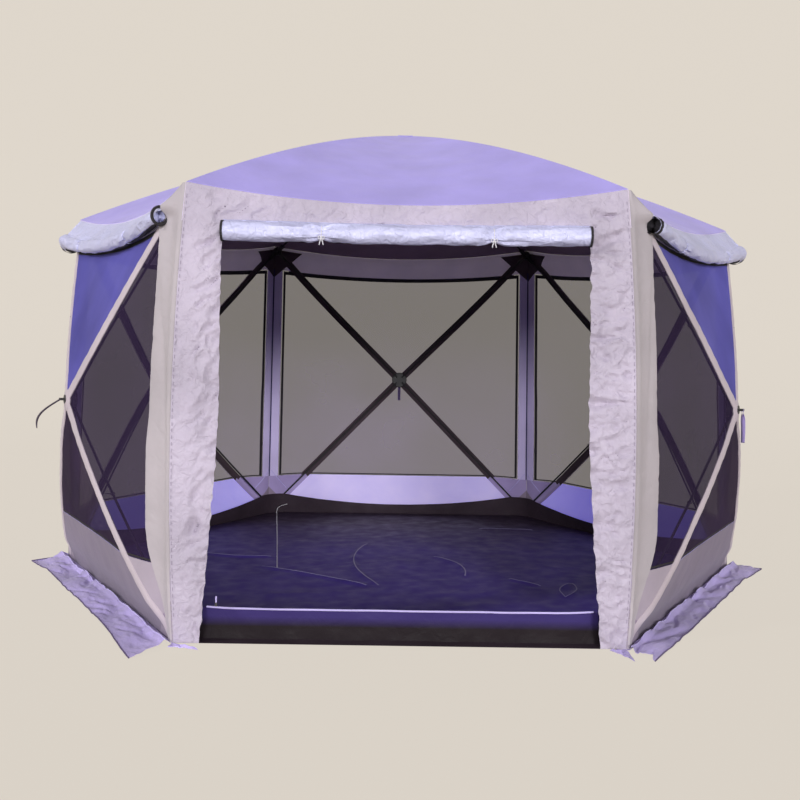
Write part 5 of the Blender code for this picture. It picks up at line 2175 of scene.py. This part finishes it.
@dataclass
class Floor:
    """Groundsheet with its upright rim and sill, piping and foot pockets."""

    shape: TentShape
    finishes: Finishes
    rim_inset: float = 0.062
    rim_corner: float = 0.130
    rim_middle: float = 0.065
    sill_height: float = 0.122
    corner_radius: float = 0.150
    rim_wave: float = 0.007
    rim_lean: float = 0.012
    piping_radius: float = 0.0042
    sheet_levels: Pair = (0.0022, 0.0008)
    cheek_length: float = 0.069
    cheek_height: float = 0.020
    cheek_sides: Pair = (0.0062, 0.0095)
    folds: tuple[Folds, ...] = (
        Folds(0.0050, 1.4, 0.30, 5, 0.7, 41.0),
        Folds(0.0040, 0.8, 0.22, 95, 0.7, 42.0),
        Folds(0.0030, 0.30, 0.10, 35, 0.6, 43.0),
    )
    creases: tuple[PackingCrease, ...] = (
        PackingCrease((-0.72, -0.20), (-0.16, -0.58)),
        PackingCrease((-0.18, 0.42), (-0.10, -0.58), 0.10),
        PackingCrease((0.20, 0.10), (0.34, -0.36), -0.06),
        PackingCrease((0.56, -0.42), (0.70, -0.55)),
        PackingCrease((0.52, 0.95), (0.86, 0.93)),
        PackingCrease((-1.10, 0.10), (-0.70, 0.04), 0.03),
        PackingCrease((0.79, -0.76), (0.86, -0.50), 0.04),
        PackingCrease((0.79, -0.76), (0.86, -0.50), -0.04),
    )

    def height(self, x: float, y: float) -> float:
        """Height of the groundsheet's creases.

        Args:
            x: metres to the right.
            y: metres to the back.

        Returns:
            The height, in metres.
        """
        ridge = max(folds_height(self.folds, x, y), 0)
        ridge += max(crease.height(x, y) for crease in self.creases)
        return 0.0026 + min(ridge, 0.014)

    def build(self) -> None:
        """Makes the groundsheet, the rim, the piping and the pockets."""
        self.groundsheet()
        self.rim()
        self.pockets()
        self.seam_line()
        self.worn_lines()
        self.door_slider()

    def groundsheet(self) -> None:
        """The flat sheet, wall to wall."""
        columns, rows = 70, 90
        reach = self.shape.base_radius - 0.004

        def point(level: float, row: int, number: int) -> Vector:
            """A point of the sheet.

            Args:
                level: height where it is flat.
                row: row of the grid.
                number: number of the point round the tent.

            Returns:
                The point.
            """
            run = 0.9985 * row / rows
            gore, column = divmod(number, columns)
            start = self.shape.corner_direction(gore) * reach
            end = self.shape.corner_direction(gore + 1) * reach
            spot = start.lerp(end, column / columns) * (1 - run)
            level += (self.height(spot.x, spot.y) - self.sheet_levels[0]) * ease(run / 0.06)
            return spot + UP * level

        around = range(SIDES * columns)
        layers = [
            grid_of(range(rows + 1), around, partial(point, level)) for level in self.sheet_levels
        ]
        piece = Sheet("groundsheet", *layers, wrap=True).build(self.finishes.floor.build())
        piece.data.materials.append(self.finishes.rim.build())
        inside = self.shape.base_radius * math.cos(math.pi / SIDES) - self.rim_inset - 0.004
        # Painted shade: the sheet's edge outside the rim takes the rim's near-black.
        for face in piece.data.polygons:
            outward = max(face.center.dot(self.shape.flat_outward(wall)) for wall in range(SIDES))
            face.material_index = 1 if outward > inside else 0
        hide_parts("floor_tub")
        sew_on(piece, "floor_sheet")

    def loop(self, inset: float) -> list[tuple[Vector, float, bool]]:
        """Points round the rim with their height, and whether they are on the sill.

        Args:
            inset: metres in from the walls.

        Returns:
            The points.
        """
        apothem = math.cos(math.pi / SIDES)
        radius = self.shape.base_radius - inset / apothem
        bend = self.corner_radius - inset + self.rim_inset
        trim = bend * math.tan(math.pi / SIDES)
        made = []
        for side in range(SIDES):
            start = self.shape.corner_direction(side) * radius
            end = self.shape.corner_direction(side + 1) * radius
            along = (end - start).normalized()
            first, last = start + along * trim, end - along * trim
            middle = self.sill_height if side == 0 else self.rim_middle
            for step in range(49):
                share = step / 48
                height = self.rim_corner + (middle - self.rim_corner) * arch(share)
                if side == 0:
                    height = min(height, self.sill_height + 0.008 * abs(2 * share - 1) ** 8)
                made.append((first.lerp(last, share), height, side == 0))
            centre = self.shape.corner_direction(side + 1) * (radius - bend / apothem)
            for step in range(1, 6):
                turn = math.radians(240 + 60 * (side + 1)) + (step / 6 - 0.5) * math.pi / 3
                spot = centre + Vector((math.cos(turn), math.sin(turn), 0)) * bend
                made.append((spot, self.rim_corner, False))
        return made

    def rim(self) -> None:
        """The upright rim all round, and the piping along the sill."""
        rows = 8

        def point(places: list[tuple[Vector, float, bool]], row: int, number: int) -> Vector:
            """A point of the rim.

            Args:
                places: points round the rim.
                row: row of the grid.
                number: which of them.

            Returns:
                The point.
            """
            spot, height, _ = places[number]
            share = row / rows
            wave = noise.noise(Vector((number * 0.23, share * 1.5, 51.0))) * self.rim_wave * share
            lean = self.rim_lean * share * (1 - share)
            return spot - spot.normalized() * (wave + lean) + UP * (0.001 + height * share)

        loops = [self.loop(self.rim_inset + thick) for thick in (0, 0.0016)]
        numbers = range(len(loops[0]))
        layers = [grid_of(range(rows + 1), numbers, partial(point, places)) for places in loops]
        sill = [layers[0][-1][n] for n in numbers if loops[0][n][2]]
        piece = Sheet("groundsheet_rim", *layers, wrap=True).build(self.finishes.rim.build())
        # Front faces take the sill's finish, near-black below with painted shade.
        piece.data.materials.append(self.finishes.sill.build())
        front = self.shape.base_radius * math.cos(math.pi / SIDES) - self.rim_inset - 0.02
        for face in piece.data.polygons:
            face.material_index = 1 if face.center.y < -front else 0
        sew_on(piece, "floor_sheet")
        line = [p + UP * 0.003 for p in sill]
        pale = self.finishes.piping.build()
        piping = tube("sill_piping", line, self.piping_radius, pale, sides=8)
        sew_on(piping, "floor_sheet")

    def worn_lines(self) -> None:
        """Pale lines along the ridges of the creases: painted glints where the creases catch the light."""
        parts = []
        for crease in self.creases:
            line = [Vector((x, y, self.height(x, y) + 0.0002)) for x, y in crease.line()]
            parts.append(tube("line", line, 0.0030, self.finishes.worn.build(), sides=6, flat=0.3))
        sew_on(join("groundsheet_worn_lines", parts), "floor_sheet")

    def seam_line(self) -> None:
        """White tape from the rim at the rear left corner over the floor."""
        line = [Vector(spot) for spot in ((-0.760, 1.484, 0.060), (-0.800, 1.480, 0.050))]
        line += [Vector(spot) for spot in ((-0.824, 1.462, 0.034), (-0.828, 1.438, 0.016))]
        for start, end in (((-0.822, 1.400), (-0.752, 0.794)), ((-0.750, 0.780), (-0.637, -0.231))):
            for n in range(24):
                x, y = Vector(start).lerp(Vector(end), n / 23)
                line.append(Vector((x, y, self.height(x, y) + 0.0006)))
        piece = tube("floor_tape", line, 0.0034, self.finishes.cord.build(), sides=6, flat=0.5)
        sew_on(piece, "floor_sheet")

    def door_slider(self) -> None:
        """Slider of the door's zip, parked on the sill beside the left jamb."""
        place = Matrix.Translation((-0.741, -1.497, self.sill_height + 0.008))
        metal, white = self.finishes.metal.build(), self.finishes.piping.build()
        low, high = Vector((-0.005, -0.004, 0.0)), Vector((0.005, 0.004, 0.020))
        tab_low, tab_high = Vector((-0.0032, -0.0012, 0.018)), Vector((0.0032, 0.0012, 0.046))
        parts = [
            rounded_box("slider", low, high, place, 0.0018, metal),
            rounded_box("slider", tab_low, tab_high, place, 0.001, white),
        ]
        sew_on(join("door_zip_slider", parts), "zip_metal")

    def pockets(self) -> None:
        """Moulded pockets at the corners for the lower pole tips."""
        plastic = self.finishes.plastic.build()
        for corner in range(SIDES):
            joint = self.shape.foot_joint(corner)
            bm = bmesh.new()
            bmesh.ops.create_uvsphere(
                bm, u_segments=24, v_segments=14, radius=self.shape.joint_radius
            )
            bm.transform(Matrix.Translation(joint))
            parts = [smooth_object("pocket", bm, plastic)]
            for wall in (corner - 1, corner):
                wall %= SIDES
                if wall == 0:
                    continue
                outward = self.shape.axes(wall)[2]
                along = (self.shape.rivet(wall, joint) - joint).normalized()
                over = outward.cross(along).normalized()
                third = along.cross(over)
                place = Matrix((along, over, third)).transposed().to_4x4()
                place = Matrix.Translation(joint) @ place
                for side in (-1, 1):
                    near, far = sorted(side * reach for reach in self.cheek_sides)
                    low = Vector((0, near, -self.cheek_height / 2))
                    high = Vector((self.cheek_length, far, self.cheek_height / 2))
                    parts.append(rounded_box("cheek", low, high, place, 0.0011, plastic))
            sew_on(join(f"foot_pocket_{CORNER_NAMES[corner]}", parts), "hub_plastic")


@dataclass
class GroundFlaps:
    """Flaps sewn round the foot of the mesh walls, lying in gathers on the ground."""

    shape: TentShape
    finishes: Finishes
    width: float = 0.185
    left_width: float = 0.174
    right_width: float = 0.152
    thickness: float = 0.0016
    hem_radius: float = 0.0026
    seam_radius: float = 0.0028
    seam_share: float = 0.2
    steps: int = 150
    rows: int = 26
    folds: tuple[Folds, ...] = (
        Folds(0.0250, 0.36, 0.080, 20, 0.25, 61.0),
        Folds(0.0150, 0.16, 0.040, -24, 0.35, 62.0),
        Folds(0.0050, 0.06, 0.018, 10, 0.4, 63.0),
    )

    def build(self) -> None:
        """Makes the run of flaps as one sheet, and the cloth turned under at the doorway."""
        total = (SIDES - 1) * self.steps
        layers = []
        for lift in (self.thickness, 0.0):
            layers.append(
                grid_of(
                    range(self.rows + 1),
                    range(total + 1),
                    lambda row, step: self.cloth_point(step, row / self.rows) + UP * lift,
                )
            )
        piece = Sheet("ground_flap_cloth", layers[0], layers[1]).build(self.finishes.flap.build())
        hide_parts("ground_flaps")
        sew_on(piece, "flap_cloth")
        for name, row, radius, finish in (
            ("flap_hem", self.rows, self.hem_radius, self.finishes.hem),
            ("flap_seam", round(self.rows * self.seam_share), self.seam_radius, self.finishes.piping),
        ):
            sew_on(tube(name, layers[0][row], radius, finish.build(), sides=6), "flap_cloth")
        left, right = self.shape.corner_direction(0), self.shape.corner_direction(1)
        reach = self.shape.base_radius
        self.turned_end("left", left * reach, Vector((0.115, -0.085, 0)), Vector((-0.01, -0.05, 0)))
        self.turned_end("right", right * reach, Vector((-0.07, -0.02, 0)), Vector((0, -0.15, 0)))

    def edge(self, wall: int, share: float) -> Pair:
        """Outer edge of a wall's flap.

        Args:
            wall: number of the wall.
            share: place along the wall, 0 to 1.

        Returns:
            How far the edge is shifted along the wall, and its distance out of the wall.
        """
        length = self.shape.base_radius
        start, end = share * length, (1 - share) * length
        if wall == 1:
            tip, wide = 1 - ease(start / 0.20), 1 - ease(end / 0.35)
            return -0.104 * tip + 0.009 * wide, self.right_width - 0.007 * tip + 0.033 * wide
        if wall == SIDES - 1:
            tip, wide = 1 - ease(end / 0.45), 1 - ease(start / 0.30)
            return 0.129 * tip + 0.062 * wide, self.left_width + 0.038 * tip + 0.030 * wide
        mitre = math.tan(math.pi / SIDES) * self.width
        shift = 0.0
        out = self.width
        if wall == 2:
            out *= min(start / 0.19, 1)
        else:
            shift -= mitre * (1 - ease(start / 0.10))
        if wall == SIDES - 2:
            out *= min(end / 0.19, 1)
        else:
            shift += mitre * (1 - ease(end / 0.10))
        return shift, out

    def cloth_point(self, step: int, reach: float) -> Vector:
        """A point of the flaps. reach is 0 at the wall and 1 at the outer edge.

        Args:
            step: number of the place round the tent.
            reach: share of the width.

        Returns:
            The point.
        """
        shape = self.shape
        wall = 1 + min(step // self.steps, SIDES - 2)
        share = step / self.steps - (wall - 1)
        start = shape.corner_direction(wall) * (shape.base_radius + 0.0012)
        end = shape.corner_direction(wall + 1) * (shape.base_radius + 0.0012)
        shift, out = self.edge(wall, share)
        wander = noise.noise(Vector((step * 0.02, 0, 71.0))) * 0.005
        along = shift * reach
        if wall == 1:
            notch = 1 - ease(share * shape.base_radius / 0.10)
            along += 0.062 * notch * math.sin(math.pi * ease((reach - 0.55) / 0.4))
        point = start.lerp(end, share) + shape.axes(wall)[0] * along
        point += shape.flat_outward(wall) * (out + wander * min(out / 0.1, 1)) * reach
        run = step / self.steps * shape.base_radius
        height = folds_height(self.folds, run, reach * self.width) + 0.006
        hem = 0.016 * math.exp(-(((reach - 0.20) / 0.07) ** 2))
        calm = ease(reach / 0.10) * (1 - 0.55 * ease((reach - 0.6) / 0.4)) * min(out / 0.1, 1)
        return point + UP * (0.0008 + max(height + hem, 0) * calm)

    def turned_end(self, name: str, corner: Vector, along: Vector, out: Vector) -> None:
        """Crumpled end of the flap that lies in front of a jamb's foot.

        Args:
            name: left or right.
            corner: the post's foot.
            along: its long side.
            out: its short side.
        """

        def point(lift: float, row: int, column: int) -> Vector:
            """A point of the crumpled end.

            Args:
                lift: metres over its underside.
                row: row of the grid.
                column: column of the grid.

            Returns:
                The point.
            """
            a, b = column / 14, row / 14
            spot = corner + along * (a * (1 - 0.3 * b)) + out * (b * (1 - 0.8 * a))
            spot += Vector((0, -0.004, 0))
            crease = abs(noise.noise(Vector((a * 2.2 + b, b * 3.1 - a, 81.0))))
            level = 0.030 * crease * arch(a * 0.8 + 0.1) * arch(b * 0.8 + 0.1)
            return spot + UP * (0.001 + level + lift)

        cells = range(15)
        layers = [grid_of(cells, cells, partial(point, lift)) for lift in (self.thickness, 0.0)]
        piece = Sheet(f"flap_end_{name}", *layers).build(self.finishes.flap.build())
        sew_on(piece, "flap_cloth")


@dataclass
class Hardware:
    """Finishes of the solids that stay, the pull straps and the small trim."""

    shape: TentShape
    finishes: Finishes
    strap_length: float = 0.150
    strap_width: float = 0.019
    strap_thickness: float = 0.0011
    bar_height: float = 0.0519
    bar_reach: float = 0.0044
    wind_flare: float = 0.105
    calm_flare: float = 0.006
    twist: float = 68

    def build(self) -> None:
        """Dresses the frame and makes the straps."""
        rules = (
            (("wall_hub", "roof_hub", "corner_joint"), self.finishes.plastic),
            (("wall_pole", "roof_pole"), self.finishes.rod),
            (("zip_slider",), self.finishes.metal),
        )
        for item in bpy.context.scene.objects:
            node = item.get("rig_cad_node")
            for starts, finish in rules:
                if node and str(node).startswith(starts):
                    for slot in item.material_slots:
                        slot.material = finish.build()
        for wall in range(1, SIDES):
            self.strap(wall)

    def strap(self, wall: int) -> None:
        """Webbing loop on the bar outside a wall's hub, twisted to hang flat to the front.

        Args:
            wall: number of the wall.
        """
        along, _, outward = self.shape.axes(wall)
        bar = self.shape.hub_centre(wall) + outward * self.bar_height
        level = self.shape.flat_outward(wall)
        left = wall == SIDES - 1
        flare = self.wind_flare if left else self.calm_flare
        twist = math.radians(self.twist) * (1 if wall < SIDES // 2 else -1)
        if left or wall == SIDES // 2:
            twist = 0

        def row(reach: float, side: int) -> list[Vector]:
            """Points across the webbing at a share of its length.

            Args:
                reach: share of its length.
                side: 1 on the loop's outer half, -1 on its inner.

            Returns:
                The points.
            """
            swing = flare * (0.35 * math.sin(math.pi * reach) + reach)
            turn = Matrix.Rotation(twist * ease(reach / 0.35), 3, "Z")
            middle = bar + level * swing - UP * self.strap_length * reach * (0.86 if left else 1)
            face = turn @ level * (0.0032 * side * (1 - reach**3))
            half = turn @ along * (self.strap_width / 2)
            return [middle + face + half * part for part in (-1, 0, 1)]

        down = [row(n / 22, 1) for n in range(23)]
        up = [row(n / 22, -1) for n in range(22, -1, -1)]
        over = []
        for degrees in (150, 120, 90, 60, 30):
            turn = math.radians(degrees)
            spot = bar + level * self.bar_reach * math.cos(turn)
            spot += UP * self.bar_reach * math.sin(turn)
            over.append([spot + along * (self.strap_width / 2 * part) for part in (-1, 0, 1)])
        finish = self.finishes.dark_webbing if left else self.finishes.webbing
        name = WALL_NAMES[wall]
        piece = Sheet(f"strap_webbing_{name}", down + up + over + [down[0]]).build(finish.build())
        solid = piece.modifiers.new("thickness", "SOLIDIFY")
        solid.thickness = self.strap_thickness
        solid.offset = 0
        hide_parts(f"pull_strap_{name}")
        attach(piece, f"strap_{name}")


@dataclass
class Studio:
    """Camera, lights, pale floor and backdrop."""

    camera_place: Triple = (-0.0438, -5.6093, 1.2343)
    pitch: float = -0.0625
    yaw: float = 0.0069
    roll: float = 0.0165
    focal_pixels: float = 1037.4
    picture: float = 800.0
    sensor: float = 36.0
    backdrop: Triple = (221, 213, 202)
    plain_share: float = 0.93
    sky_strength: float = 0.22
    floor_reach: float = 26.0
    floor_front: float = -14.0
    floor_back: float = 9.0
    floor_bend: float = 4.0
    backdrop_height: float = 14.0

    def build(self) -> None:
        """Makes the camera first, then the lights and the floor."""
        bpy.context.scene.view_settings.view_transform = "Standard"
        self.camera()
        self.lights()
        self.ground()

    def camera(self) -> None:
        """Camera at the photograph's angle."""
        data = bpy.data.cameras.new("camera")
        data.sensor_width = self.sensor
        data.lens = self.focal_pixels / self.picture * self.sensor
        data.clip_end = 200
        ahead = Vector(
            (
                math.sin(self.yaw) * math.cos(self.pitch),
                math.cos(self.yaw) * math.cos(self.pitch),
                math.sin(self.pitch),
            )
        )
        right = ahead.cross(UP).normalized()
        upward = right.cross(ahead)
        side = right * math.cos(self.roll) + upward * math.sin(self.roll)
        top = upward * math.cos(self.roll) - right * math.sin(self.roll)
        turn = Matrix((side, top, -ahead)).transposed().to_4x4()
        item = add_object("camera", data)
        item.matrix_world = Matrix.Translation(self.camera_place) @ turn
        bpy.context.scene.camera = item

    def lights(self) -> None:
        """A low soft sun that reaches the inside, a higher one for the creases, and a sky."""
        for name, azimuth, elevation, spread, watts in (
            ("low_sun_right", 13, 12, 12, 1.55),
            ("low_sun_left", -8, 10, 12, 1.0),
            ("side_sun", -62, 28, 8, 1.04),
        ):
            data = bpy.data.lights.new(name, "SUN")
            data.angle = math.radians(spread)
            data.energy = watts
            data.color = (0.985, 0.985, 1.0)
            turn, rise = math.radians(azimuth), math.radians(elevation)
            towards = Vector(
                (math.sin(turn) * math.cos(rise), -math.cos(turn) * math.cos(rise), math.sin(rise))
            )
            item = add_object(name, data)
            item.location = towards * 10
            item.rotation_euler = towards.to_track_quat("Z", "Y").to_euler()
        world = bpy.data.worlds.new("studio")
        bpy.context.scene.world = world
        world.use_nodes = True
        nodes, links = world.node_tree.nodes, world.node_tree.links
        sky = nodes["Background"]
        sky.inputs["Color"].default_value = (0.97, 0.98, 1, 1)
        sky.inputs["Strength"].default_value = self.sky_strength
        seen = nodes.new("ShaderNodeBackground")
        seen.inputs["Color"].default_value = colour(*self.backdrop)
        mix = nodes.new("ShaderNodeMixShader")
        links.new(self.shown(world.node_tree), mix.inputs["Fac"])
        links.new(sky.outputs[0], mix.inputs[1])
        links.new(seen.outputs[0], mix.inputs[2])
        links.new(mix.outputs[0], nodes["World Output"].inputs["Surface"])

    def shown(self, tree: NodeTree) -> NodeSocket:
        """1 for rays from the camera, by reflection or through netting, and 0 for other rays.

        Args:
            tree: the material's nodes.

        Returns:
            The value.
        """
        path = tree.nodes.new("ShaderNodeLightPath")
        value = path.outputs["Is Camera Ray"]
        for name in ("Is Glossy Ray", "Is Transmission Ray"):
            either = tree.nodes.new("ShaderNodeMath")
            either.operation = "MAXIMUM"
            tree.links.new(value, either.inputs[0])
            tree.links.new(path.outputs[name], either.inputs[1])
            value = either.outputs[0]
        return value

    def ground(self) -> None:
        """Pale floor that sweeps up into a backdrop behind the tent."""
        reach, bend, back = self.floor_reach, self.floor_bend, self.floor_back
        profile = [(self.floor_front, 0.0), (back - bend, 0.0)]
        for step in range(1, 25):
            turn = math.pi / 2 * step / 24
            level = bend * (1 - math.cos(turn))
            profile.append((back - bend + bend * math.sin(turn), level))
        profile.append((back, self.backdrop_height))
        grid = [[Vector((x, y, z)) for x in (-reach, 0.0, reach)] for y, z in profile]
        made = bpy.data.materials.new("studio_floor")
        made.use_nodes = True
        tree = Shading(made.node_tree)
        base = colour(*self.backdrop)
        pale = tuple(min(c * 1.03, 1) for c in base[:3]) + (1.0,)
        tree.link(tree.ramp(tree.noise(0.6, 3), base, pale, 0.3, 0.7), "Base Color")
        tree.set("Roughness", 0.9)
        tree.set("Specular IOR Level", 0.1)
        self.even_out(made.node_tree, base)
        floor = Sheet("studio_floor", grid).build(made)
        floor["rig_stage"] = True

    def even_out(self, tree: NodeTree, base: tuple[float, ...]) -> None:
        """Shows the camera mostly the plain backdrop colour, with some of the shadow kept.

        Args:
            tree: nodes of the floor's material.
            base: linear colour of the backdrop.
        """
        nodes, links = tree.nodes, tree.links
        plain = nodes.new("ShaderNodeEmission")
        plain.inputs["Color"].default_value = base
        share = nodes.new("ShaderNodeMath")
        share.operation = "MULTIPLY"
        share.inputs[1].default_value = self.plain_share
        links.new(self.shown(tree), share.inputs[0])
        mix = nodes.new("ShaderNodeMixShader")
        links.new(share.outputs[0], mix.inputs["Fac"])
        links.new(nodes["Principled BSDF"].outputs[0], mix.inputs[1])
        links.new(plain.outputs[0], mix.inputs[2])
        links.new(mix.outputs[0], nodes["Material Output"].inputs["Surface"])


def main() -> None:
    """Builds every sub-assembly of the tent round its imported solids."""
    logging.basicConfig(level=logging.INFO, format="%(name)s: %(message)s")
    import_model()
    solid_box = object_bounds()
    shape, finishes = TentShape(), Finishes()
    Studio().build()
    LOG.info("studio done")
    Roof(shape, finishes).build()
    LOG.info("roof done")
    for wall in range(1, SIDES):
        WallPanel(shape, finishes, wall).build()
    LOG.info("walls done")
    door_wall = DoorWall(shape, finishes)
    door_wall.build()
    LOG.info("doorway done")
    Rolls(shape, finishes, door_wall).build()
    LOG.info("rolls done")
    Floor(shape, finishes).build()
    GroundFlaps(shape, finishes).build()
    Hardware(shape, finishes).build()
    LOG.info("hardware done")
    boxes = {"solids": solid_box, "scene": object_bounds()}
    {key: [list(corner) for corner in box] for key, box in boxes.items()}


if __name__ == "__main__":
    main()
